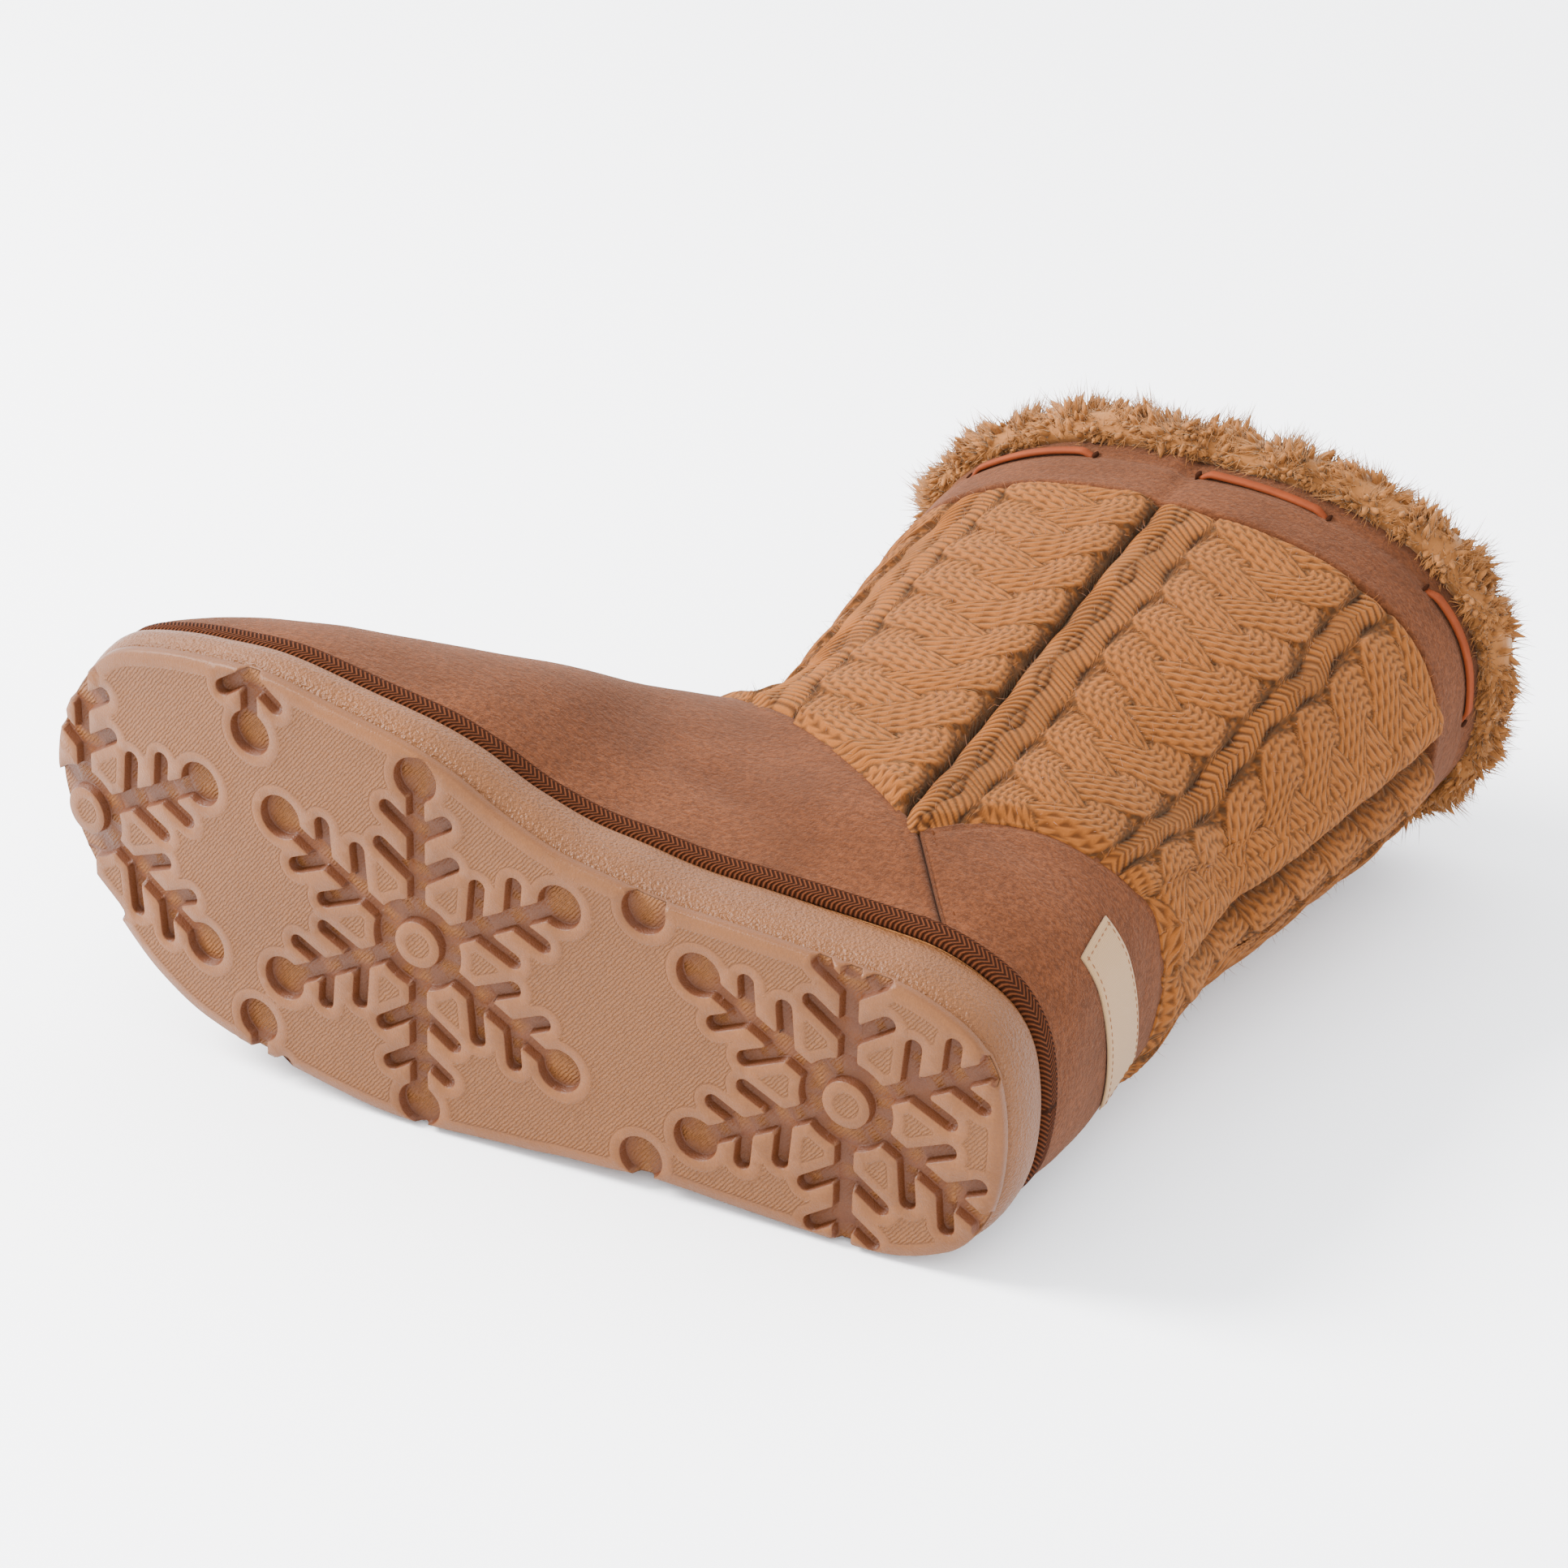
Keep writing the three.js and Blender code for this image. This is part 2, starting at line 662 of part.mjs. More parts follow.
// Knitted shaft: two panels with a groove at each side seam and raised cables between
const KNIT_START = 0.2;
const CABLES = [0.06, 0.185, 0.315, 0.44, 0.56, 0.685, 0.815, 0.94];
const SEAM_TURNS = [0.257, 0.743];
function knitRelief(turn) {
  const near = (center) => Math.abs(turn - center);
  const cable = Math.max(...CABLES.map((center) => 1 - smooth(0.02, 0.045, near(center))));
  const seam = Math.max(...SEAM_TURNS.map((center) => 1 - smooth(0.004, 0.02, near(center))));
  return CABLE_RELIEF * (cable - seam);
}

function knitShaft() {
  const rings = RINGS.filter((row) => row.front > KNIT_START).map(ringAt);
  const turns = ringTurns(UPPER_STEPS);
  const last = rings.length - 1;
  const loop = (ring, i, out) => turns.map((turn) => {
    const distance = GAP + (out ? KNIT_THICKNESS + knitRelief(turn) : 0);
    return offsetPoint(ring, turn, distance, i === 0 || i === last);
  });
  const outside = rings.map((ring, i) => loop(ring, i, true));
  const inside = rings.map((ring, i) => loop(ring, i, false));
  const shell = toSolid(loftGeometry([...outside, ...inside.reverse()], true, rings.length));
  return toGeometry(shell.intersect(knitPrism()));
}

// Cuff band around the top of the shaft
function cuffBand() {
  const rings = [UPPER_HEIGHT - CUFF_HEIGHT, UPPER_HEIGHT].map(levelRing);
  return shellGeometry(rings, GAP, GAP + CUFF_THICKNESS);
}

// Point beside the collar, at a distance out from the wall and a rise above its top edge
function collarPoint(turn, out, rise) {
  const height = UPPER_HEIGHT + Math.min(0, rise);
  const point = offsetPoint(levelRing(height), turn, out, true);
  return point.setZ(point.z + Math.max(0, rise));
}

// Fur: a roll that hangs over the collar's edge, with a lock raised on each of its outer facets
function furSection() {
  const band = GAP + CUFF_THICKNESS;
  const inside = -UPPER_WALL - GAP;
  const lining = inside - FUR_LINING;
  return [
    { out: band, rise: GAP },
    { out: inside, rise: GAP },
    { out: inside, rise: -FUR_RISE },
    { out: lining, rise: -FUR_RISE * 0.7 },
    { out: lining, rise: 0 },
    { out: inside - FUR_LINING * 0.3, rise: FUR_RISE * 0.8, tipOut: -0.15, tipRise: 1 },
    { out: band * 0.6, rise: FUR_RISE, tipOut: 0.65, tipRise: 0.75 },
    { out: band + FUR_SPREAD * 0.8, rise: FUR_RISE * 0.6, tipOut: 0.95, tipRise: -0.2 },
    { out: band + FUR_SPREAD, rise: 0 },
    { out: band + FUR_SPREAD * 0.6, rise: -FUR_RISE * 0.4 },
    { out: band + GAP, rise: -FUR_RISE * 0.35 },
    { out: band + GAP, rise: GAP },
  ];
}

// The lock on a facet narrows at half its length and ends in a point
const LOCK_LENGTHS = [1, 0.8, 1.1, 0.9, 1.05, 0.75, 0.95];
const LOCK_WAIST = 0.62;
const LOCK_SWIRL = 0.3;
function raiseLock(points, faces, facet, reach) {
  const corners = facet.map((index) => points[index]);
  const middle = new THREE.Vector3();
  corners.forEach((corner) => middle.addScaledVector(corner, 1 / corners.length));
  const half = middle.clone().addScaledVector(reach, 0.5);
  const waist = corners.map((corner) => {
    const arm = corner.clone().sub(middle).multiplyScalar(LOCK_WAIST);
    return points.push(half.clone().add(arm)) - 1;
  });
  const tip = points.push(middle.clone().add(reach)) - 1;
  facet.forEach((corner, k) => {
    const next = (k + 1) % facet.length;
    faces.push(corner, facet[next], waist[next], corner, waist[next], waist[k]);
    faces.push(waist[k], waist[next], tip);
  });
}

function collarFur() {
  const section = furSection();
  const turns = ringTurns(UPPER_STEPS);
  const count = turns.length;
  const points = section.flatMap(
    (row) => turns.map((turn) => collarPoint(turn, row.out, row.rise)),
  );
  const faces = [];
  section.forEach((row, level) => {
    const next = (level + 1) % section.length;
    turns.forEach((turn, i) => {
      const j = (i + 1) % count;
      const facet = [level * count + i, level * count + j, next * count + j, next * count + i];
      if (row.tipRise === undefined) {
        faces.push(facet[0], facet[1], facet[2], facet[0], facet[2], facet[3]);
        return;
      }
      const root = collarPoint(turn, 0, 0);
      const outward = collarPoint(turn, 1, 0).sub(root);
      const around = outward.clone().cross(new THREE.Vector3(0, 0, 1));
      const reach = outward.multiplyScalar(row.tipOut).addScaledVector(around, LOCK_SWIRL);
      reach.z += row.tipRise;
      const length = LOCK_LENGTHS[(2 * i + level) % LOCK_LENGTHS.length];
      raiseLock(points, faces, facet, reach.multiplyScalar(FUR_LOCK * length));
    });
  });
  const positions = points.flatMap((point) => [point.x, point.y, point.z]);
  const geometry = new THREE.BufferGeometry();
  geometry.setAttribute('position', new THREE.Float32BufferAttribute(positions, 3));
  geometry.setIndex(faces);
  return geometry;
}

// Turns along a level ring by the arc that they lie from the back, over the inner side
function arcToTurn(height) {
  const count = 160;
  const arcs = [0];
  for (let i = 0; i < count; i += 1) {
    const before = upperPoint(levelRing(height), i / count);
    const after = upperPoint(levelRing(height), ((i + 1) / count) % 1);
    arcs.push(arcs[i] + before.distanceTo(after));
  }
  const total = arcs[count];
  const turnAt = (arc) => {
    const around = ((arc % total) + total) % total;
    let i = 0;
    while (arcs[i + 1] < around) i += 1;
    return (i + (around - arcs[i]) / (arcs[i + 1] - arcs[i])) / count;
  };
  return { total, turnAt };
}

// Thong: short lengths of flat cord that show on the cuff between its slits
const THONG_COUNT = 6;
const THONG_START = 0.205;
function thongDash(index) {
  const { total, turnAt } = arcToTurn(UPPER_HEIGHT);
  const middle = total * (THONG_START + index / THONG_COUNT);
  const inner = GAP + CUFF_THICKNESS + GAP;
  const steps = 6;
  const loops = Array.from({ length: steps + 1 }, (value, i) => {
    const turn = turnAt(middle + THONG_DASH * (0.5 - i / steps));
    const corner = (out, up) => collarPoint(turn, out, up - THONG_DROP);
    return [
      corner(inner, -THONG_WIDTH / 2),
      corner(inner + THONG_THICKNESS, -THONG_WIDTH / 2),
      corner(inner + THONG_THICKNESS, THONG_WIDTH / 2),
      corner(inner, THONG_WIDTH / 2),
    ];
  });
  return loftGeometry(loops, false);
}

// Woven label on the back of the counter, sewn on a little aslant
const LABEL_TILT = 0.2;
const LABEL_INWARD = 0.1;
function heelLabel() {
  const { turnAt } = arcToTurn(LABEL_UP);
  const inner = GAP + SUEDE_THICKNESS + 2 * GAP;
  const steps = 10;
  const loops = Array.from({ length: steps + 1 }, (value, i) => {
    const u = LABEL_WIDTH * (0.5 - i / steps);
    const corner = (distance, v) => {
      const arc = u * Math.cos(LABEL_TILT) + v * Math.sin(LABEL_TILT);
      const up = LABEL_UP - u * Math.sin(LABEL_TILT) + v * Math.cos(LABEL_TILT);
      const turn = turnAt(arc + LABEL_INWARD * LABEL_WIDTH);
      return offsetPoint(levelRing(up), turn, distance, false);
    };
    return [
      corner(inner, -LABEL_HEIGHT / 2),
      corner(inner + LABEL_THICKNESS, -LABEL_HEIGHT / 2),
      corner(inner + LABEL_THICKNESS, LABEL_HEIGHT / 2),
      corner(inner, LABEL_HEIGHT / 2),
    ];
  });
  return loftGeometry(loops, false);
}

const boot = new THREE.Group();

function addPiece(name, geometry, color, roughness) {
  const material = new THREE.MeshStandardMaterial({ color, roughness, metalness: 0 });
  const mesh = new THREE.Mesh(geometry, material);
  mesh.name = name;
  boot.add(mesh);
  return mesh;
}

const SUEDE_BROWN = 0x8a5a3c;
addPiece('outsole', outsole(), 0xa67a52, 0.7);
addPiece('insole', insole(), 0xc9a06a, 0.95).position.z = GAP;
addPiece('upper', upper(), 0xb98d5a, 0.95).position.z = GAP;
addPiece('vamp', vamp(), SUEDE_BROWN, 0.9).position.z = GAP;
addPiece('counter', counter(), SUEDE_BROWN, 0.9).position.z = GAP;
addPiece('binding_tape', bindingTape(), 0x5b3a26, 0.9).position.z = GAP;
addPiece('knit_shaft', knitShaft(), 0xb07a42, 0.95).position.z = GAP;
addPiece('cuff_band', cuffBand(), SUEDE_BROWN, 0.9).position.z = GAP;
addPiece('collar_fur', collarFur(), 0xc69350, 1).position.z = GAP;
addPiece('heel_label', heelLabel(), 0xe6cfa4, 0.8).position.z = GAP;
for (let i = 0; i < THONG_COUNT; i += 1) {
  addPiece(`thong_${i + 1}`, thongDash(i), 0xa0522d, 0.6).position.z = GAP;
}

// The boot lies on its outer side: the floor touches the sole at the ball and at the heel,
// and the fur at the collar. Each pass takes the lowest point of each over the last plane.
function pointsOf(name) {
  const mesh = boot.getObjectByName(name);
  const place = mesh.geometry.attributes.position;
  return Array.from({ length: place.count }, (value, i) => (
    new THREE.Vector3().fromBufferAttribute(place, i).add(mesh.position)
  ));
}

function floorNormal() {
  const sole = pointsOf('outsole');
  const waist = 0.45 * SOLE_LENGTH;
  const groups = [
    sole.filter((point) => point.y > waist),
    sole.filter((point) => point.y <= waist),
    pointsOf('collar_fur'),
  ];
  let normal = new THREE.Vector3(1, 0, 0);
  for (let pass = 0; pass < 12; pass += 1) {
    const lowest = groups.map((points) => points.reduce(
      (best, point) => (point.dot(normal) > best.dot(normal) ? point : best),
    ));
    const across = lowest[1].clone().sub(lowest[0]);
    const along = lowest[2].clone().sub(lowest[0]);
    normal = across.cross(along).normalize();
    if (normal.x < 0) normal.negate();
  }
  return normal;
}

const up = floorNormal().negate();
const shaftward = new THREE.Vector3(0, 0, 1).projectOnPlane(up).normalize();
const heelward = shaftward.clone().cross(up);
const turnOver = new THREE.Matrix4().makeBasis(heelward, shaftward, up).transpose();
boot.quaternion.setFromRotationMatrix(turnOver);
boot.updateMatrixWorld(true);
const extent = new THREE.Box3().setFromObject(boot, true);
const middle = extent.getCenter(new THREE.Vector3());
boot.position.set(-middle.x, -middle.y, -extent.min.z);
boot.updateMatrixWorld(true);

export default boot;
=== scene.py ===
import math

import bpy
import numpy as np
from mathutils import Matrix, Vector
from mathutils.geometry import delaunay_2d_cdt


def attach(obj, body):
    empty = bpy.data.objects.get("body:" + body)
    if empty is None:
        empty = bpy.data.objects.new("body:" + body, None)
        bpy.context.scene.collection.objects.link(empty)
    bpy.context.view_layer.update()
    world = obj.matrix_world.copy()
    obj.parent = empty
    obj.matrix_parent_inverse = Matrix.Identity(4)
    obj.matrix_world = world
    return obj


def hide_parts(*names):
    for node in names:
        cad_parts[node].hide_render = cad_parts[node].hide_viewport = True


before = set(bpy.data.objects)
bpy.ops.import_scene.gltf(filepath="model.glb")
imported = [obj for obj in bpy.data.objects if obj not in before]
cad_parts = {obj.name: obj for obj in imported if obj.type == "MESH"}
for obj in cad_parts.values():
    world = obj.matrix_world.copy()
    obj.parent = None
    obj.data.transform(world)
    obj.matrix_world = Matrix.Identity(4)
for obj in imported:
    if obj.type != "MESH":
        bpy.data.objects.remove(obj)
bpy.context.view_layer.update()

bl_info = {
    "name": "Sweater boot",
    "version": (1, 0, 0),
    "blender": (4, 5, 0),
    "location": "3D View > Sidebar > Boot",
    "description": "Dresses a packed sweater boot: sole, suede, knit, fur and thong",
    "category": "Object",
}

# The boot's own frame in millimetres, x to the outer side, y to the toe and z up the shaft,
# is turned over into the frame's metres by this matrix.
PLACE = np.array([
    [-0.050297, -0.998734, 0.0, 119.700996],
    [0.068617, -0.003456, 0.997637, -133.914849],
    [-0.996374, 0.050178, 0.068704, 43.773623],
])

# Sizes of the sole and the upper, in millimetres, as in the solids
SOLE_LENGTH = 263.5
BALL_WIDTH = 104.4
HEEL_WIDTH = 74
TOE_SPRING = 13.6
HEEL_THICKNESS = 20.5
FORE_THICKNESS = 12.5
TREAD_BAND = 3.8
FLAKE_REACH = 44.5
FLAKE_DEPTH = 2.2
FLAKE_RELIEF = 1.3
HUB_RADIUS = 6.2
HUB_GROOVE = 5.7
TRUNK_WIDTH = 4.6
BRANCH_WIDTH = 4
KNOB_RADIUS = 5.6
UPPER_HEIGHT = 229.5
INSTEP_HEIGHT = 113
SHAFT_LENGTH = 147.5
SHAFT_WIDTH = 88
FEATHER_INSET = 1.3
UPPER_WALL = 2.2
SUEDE_THICKNESS = 1.3
TAPE_HEIGHT = 7
TAPE_THICKNESS = 2.2
GAP = 0.3
CUFF_HEIGHT = 30
CUFF_THICKNESS = 2.7
FUR_RISE = 13
FUR_SPREAD = 6
FUR_LINING = 7
THONG_WIDTH = 2.7
THONG_DASH = 36
THONG_DROP = 11
THONG_COUNT = 6
THONG_START = 0.205
LABEL_WIDTH = 44
LABEL_HEIGHT = 17
LABEL_UP = 38
LABEL_TILT = 0.2
LABEL_INWARD = 0.1
BLEND = 14
ARCH = 2.35
ARCH_ROOT = 1.9
SHAFT_LEAN = 0.043
SPRING_START = 0.579

OUTLINE = [
    (0, -0.062, 0), (0.0095, -0.062, 0.473), (0.047, -0.073, 0.811), (0.123, -0.075, 0.978),
    (0.275, -0.067, 1), (0.378, -0.062, 0.973), (0.446, -0.054, 0.925), (0.49, -0.038, 0.921),
    (0.548, -0.008, 0.95), (0.64, 0.022, 0.993), (0.738, 0.054, 1), (0.82, 0.061, 0.945),
    (0.877, 0.077, 0.849), (0.928, 0.1, 0.69), (0.966, 0.103, 0.468), (1, 0.09, 0),
]
THICKNESS = [(0, 1), (0.36, 1), (0.53, 0.55), (0.65, 0.24), (0.8, 0.04), (1, 0)]
RIDGE = [
    (0, 1.15), (0.4, 1.12), (0.49, 0.94), (0.55, 0.8), (0.63, 0.66), (0.72, 0.515),
    (0.82, 0.385), (0.9, 0.265), (0.95, 0.185), (0.985, 0.105), (1, 0),
]
SHAFT = [
    (0, 0.009, 0.68, 0.81, 2.1), (0.09, 0, 0.74, 0.86, 2.15), (0.26, 0.008, 0.81, 0.89, 2.2),
    (0.35, 0.012, 0.84, 0.91, 2.25), (0.42, 0.022, 0.85, 0.93, 2.3),
    (0.54, -0.008, 0.865, 0.96, 2.35), (0.64, -0.025, 0.88, 0.98, 2.4),
    (0.75, -0.045, 0.9, 0.99, 2.45), (0.88, -0.065, 0.925, 1, 2.5), (1, -0.07, 0.937, 1, 2.5),
]
SEAM_FOOT = (0.095, 0)
SEAM_TOP = (0.191, 0.147)
VAMP_EDGE = [
    (0.23, 0.185), (0.27, 0.219), (0.315, 0.257), (0.36, 0.294), (0.417, 0.336),
    (0.463, 0.372), (0.53, 0.43),
]
COUNTER_EDGE = [
    (0.165, 0.18), (0.135, 0.215), (0.095, 0.238), (0.056, 0.252), (0.02, 0.272), (0, 0.292),
]
BRANCHES = [(0.4, 0.574, 0.24), (0.663, 0.807, 0.198)]
FLAKES = [
    (0.148, -0.063, True, (0, 1, 2, 3, 4, 5)), (0.579, 0, True, (0, 1, 2, 3, 4, 5)),
    (0.964, 0.004, True, (0, 1, 2, 3, 4, 5)), (0.757, 0.83, False, (0,)),
    (0.757, -0.783, False, (3,)), (0.349, 0.694, False, (0,)), (0.349, -0.8, False, (3,)),
]


# Curves and surfaces of the boot

# Samples of a level ring and of the instep's line, and the reach of the steps that give a normal
RING_POINTS = 721
FRONT_POINTS = 1200
NORMAL_TURN = 0.004
NORMAL_RISE = 1.5


def smooth(low, high, value):
    share = np.clip((np.asarray(value, float) - low) / (high - low), 0, 1)
    return share * share * (3 - 2 * share)


def lerp(a, b, share):
    return a + (b - a) * share


def round_place(share):
    return np.arccos(1 - 2 * np.clip(share, 0, 1))


def curve(rows, column, place=lambda value: value):
    """A smooth curve without overshoot through the first and another column of a table."""
    xs = np.array([place(row[0]) for row in rows], float)
    ys = np.array([row[column] for row in rows], float)
    slopes = np.diff(ys) / np.diff(xs)
    before = np.concatenate([slopes[:1], slopes])
    after = np.concatenate([slopes, slopes[-1:]])
    safe = np.where(before * after > 0, before + after, 1)
    tangents = np.where(before * after > 0, 2 * before * after / safe, 0)

    def value_at(value):
        x = np.clip(place(np.asarray(value, float)), xs[0], xs[-1])
        i = np.clip(np.searchsorted(xs, x, side="right") - 1, 0, len(xs) - 2)
        span = xs[i + 1] - xs[i]
        t = (x - xs[i]) / span
        lift = t * (1 - t) * span * (tangents[i] * (1 - t) - tangents[i + 1] * t)
        return ys[i] + (ys[i + 1] - ys[i]) * t * t * (3 - 2 * t) + lift

    return value_at


outline_centre = curve(OUTLINE, 1, round_place)
outline_half = curve(OUTLINE, 2, round_place)
thickness_share = curve(THICKNESS, 1)
ridge_share = curve(RIDGE, 1, round_place)
shaft_back = curve(SHAFT, 1)
shaft_front = curve(SHAFT, 2)
shaft_half_share = curve(SHAFT, 3)
shaft_square = curve(SHAFT, 4)


def half_width(y):
    share = y / SOLE_LENGTH
    width = lerp(HEEL_WIDTH, BALL_WIDTH, smooth(0.3, 0.6, share))
    return outline_half(share) * width / 2


def centre_line(y):
    return -outline_centre(y / SOLE_LENGTH) * BALL_WIDTH


def tread_height(y):
    share = np.maximum(0, (y / SOLE_LENGTH - SPRING_START) / (1 - SPRING_START))
    return TOE_SPRING * share * share


def sole_thickness(y):
    return lerp(FORE_THICKNESS, HEEL_THICKNESS, thickness_share(y / SOLE_LENGTH))


def feather_height(y):
    return tread_height(y) + sole_thickness(y)


def back_line(height):
    return shaft_back(height / UPPER_HEIGHT) * SHAFT_LENGTH


def ridge_height(y):
    share = (y - FEATHER_INSET) / (SOLE_LENGTH - 2 * FEATHER_INSET)
    return ridge_share(share) * INSTEP_HEIGHT


def plan_half(y, height):
    shift = (back_line(height) - FEATHER_INSET) * (1 - smooth(0, 0.4, y / SOLE_LENGTH))
    share = (y - shift - FEATHER_INSET) / (SOLE_LENGTH - 2 * FEATHER_INSET)
    full = half_width(np.clip(share, 0, 1) * SOLE_LENGTH)
    inside = (share > 0) & (share < 1)
    return np.where(inside, full * (1 - FEATHER_INSET / (HEEL_WIDTH / 2)), 0)


def foot_half(y, height):
    share = np.clip(height / np.maximum(ridge_height(y), 1e-6), 0, 1)
    return plan_half(y, height) * (1 - share ** ARCH) ** (1 / ARCH_ROOT)


def shaft_half(y, height):
    up = height / UPPER_HEIGHT
    back = back_line(height)
    front = shaft_front(up) * SHAFT_LENGTH
    reach = np.abs(2 * y - back - front) / (front - back)
    square = shaft_square(up)
    oval = shaft_half_share(up) * SHAFT_WIDTH / 2
    oval = oval * (1 - np.clip(reach, 0, 1) ** square) ** (1 / square)
    both = lerp(plan_half(y, height), oval, smooth(0, 0.2, up))
    return np.where(reach < 1, both, 0)


def upper_half(y, height):
    foot = foot_half(y, height)
    shaft = shaft_half(y, height)
    blend = np.minimum(BLEND, (foot + shaft) / 2) * smooth(0, 0.15, height / UPPER_HEIGHT)
    near = np.maximum(0, blend - np.abs(foot - shaft))
    extra = np.where(blend > 0, near * near / (4 * np.where(blend > 0, blend, 1)), 0)
    return np.maximum(foot, shaft) + extra


def upper_centre(y, height):
    leg = BALL_WIDTH * lerp(0.062, SHAFT_LEAN, height / UPPER_HEIGHT)
    return lerp(leg, centre_line(y), smooth(0.34, 0.6, y / SOLE_LENGTH))


def find_fronts():
    """Heights, and how far along the boot its front lies at each."""
    heights = np.linspace(0, UPPER_HEIGHT, FRONT_POINTS)
    shaft = shaft_front(heights / UPPER_HEIGHT) * SHAFT_LENGTH
    low = shaft.copy()
    high = np.full_like(low, SOLE_LENGTH - FEATHER_INSET)
    for _ in range(40):
        middle = (low + high) / 2
        above = ridge_height(middle) > heights
        low = np.where(above, middle, low)
        high = np.where(above, high, middle)
    return heights, np.where(ridge_height(shaft) <= heights, shaft, low)


FRONTS = find_fronts()


def front_line(height):
    return np.interp(height, *FRONTS)


def surface(turn, height):
    """Points of the upper; turn runs once round from the back, over the inner side."""
    turn, height = np.broadcast_arrays(np.asarray(turn, float) % 1, np.asarray(height, float))
    height = np.clip(height, 0, UPPER_HEIGHT)
    along = (1 - np.cos(turn * 2 * np.pi)) / 2
    y = lerp(back_line(height), front_line(height), along)
    side = np.where(turn < 0.5, -1, 1)
    x = upper_centre(y, height) + side * upper_half(y, height)
    return np.stack([x, y, feather_height(y) + height], -1)


def unit(vectors):
    return vectors / np.maximum(np.linalg.norm(vectors, axis=-1, keepdims=True), 1e-9)


def lengths_along(points):
    """Length along a line of points, up to each of them."""
    return np.concatenate([[0], np.cumsum(np.linalg.norm(np.diff(points, axis=0), axis=1))])


def normals(turn, height):
    """Outward directions of the upper's surface."""
    around = surface(turn + NORMAL_TURN, height) - surface(turn - NORMAL_TURN, height)
    low = np.clip(height - NORMAL_RISE, 0, UPPER_HEIGHT)
    high = np.clip(height + NORMAL_RISE, 0, UPPER_HEIGHT)
    return unit(np.cross(surface(turn, high) - surface(turn, low), around))


def offset(turn, height, distance, level=False):
    """Points that stand off the upper by a distance, straight out or in their level plane."""
    normal = normals(turn, height)
    if level:
        normal = unit(normal * [1, 1, 0])
    return surface(turn, height) + normal * np.asarray(distance, float)[..., None]


def turn_at(y, height, side):
    """The turn at which the surface at a height is as far along as y; side -1 is the inner."""
    back, front = back_line(height), front_line(height)
    share = np.clip((y - back) / (front - back), 0, 1)
    turn = np.arccos(1 - 2 * share) / (2 * np.pi)
    return turn if side < 0 else -turn


def ring_arc(height):
    """Turns and lengths round a level ring, from the back over the inner side."""
    turns = np.linspace(0, 1, RING_POINTS)
    return turns, lengths_along(surface(turns, height))


def turn_of_arc(height, arc):
    turns, arcs = ring_arc(height)
    return np.interp(np.asarray(arc) % arcs[-1], arcs, turns)


# Mesh making

def to_world(points):
    points = np.asarray(points, float).reshape(-1, 3)
    return (points @ PLACE[:, :3].T + PLACE[:, 3]) / 1000


def above_floor(points, clear=0.4):
    """Points that would dip under the floor, lifted straight up to lie just over it."""
    low = np.minimum(0, points @ PLACE[2, :3] + PLACE[2, 3] - clear)
    return points - low[..., None] * PLACE[2, :3]


def grid_faces(rows, columns, closed=False, start=0):
    """Quads over rows of points; the last column joins the first where the grid is closed."""
    last = columns if closed else columns - 1
    i, j = np.meshgrid(np.arange(rows - 1), np.arange(last), indexing="ij")
    k = (j + 1) % columns
    quads = np.stack([i * columns + j, i * columns + k, (i + 1) * columns + k,
                      (i + 1) * columns + j], -1).reshape(-1, 4)
    return quads + start


def add_object(name, data):
    """A new object of the scene that shows some mesh, light or camera."""
    made = bpy.data.objects.new(name, data)
    bpy.context.scene.collection.objects.link(made)
    return made


def make_piece(name, points, faces, material, slot=None, replaces=(), uv=None, marks=None):
    """A mesh object from points in the boot's frame; uv in millimetres and marks by vertex."""
    mesh = bpy.data.meshes.new(name)
    faces = [np.asarray(face_set) for face_set in faces if len(face_set)]
    mesh.from_pydata(to_world(points).tolist(), [],
                     [face for face_set in faces for face in face_set.tolist()])
    loops = np.zeros(len(mesh.loops), np.int64)
    mesh.loops.foreach_get("vertex_index", loops)
    uv = np.zeros((len(mesh.vertices), 2)) if uv is None else uv
    layer = mesh.uv_layers.new(name="cloth")
    layer.data.foreach_set("uv", np.asarray(uv, np.float32)[loops].ravel())
    for key, values in (marks or {}).items():
        layer = mesh.attributes.new(key, "FLOAT", "POINT")
        layer.data.foreach_set("value", np.asarray(values, np.float32))
    mesh.polygons.foreach_set("use_smooth", np.full(len(mesh.polygons), True))
    mesh.materials.append(material)
    mesh.validate()
    mesh.update()
    finish_piece(add_object(name, mesh), replaces)


def finish_piece(piece, replaces=()):
    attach(piece, "root")
    if replaces:
        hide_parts(*replaces)


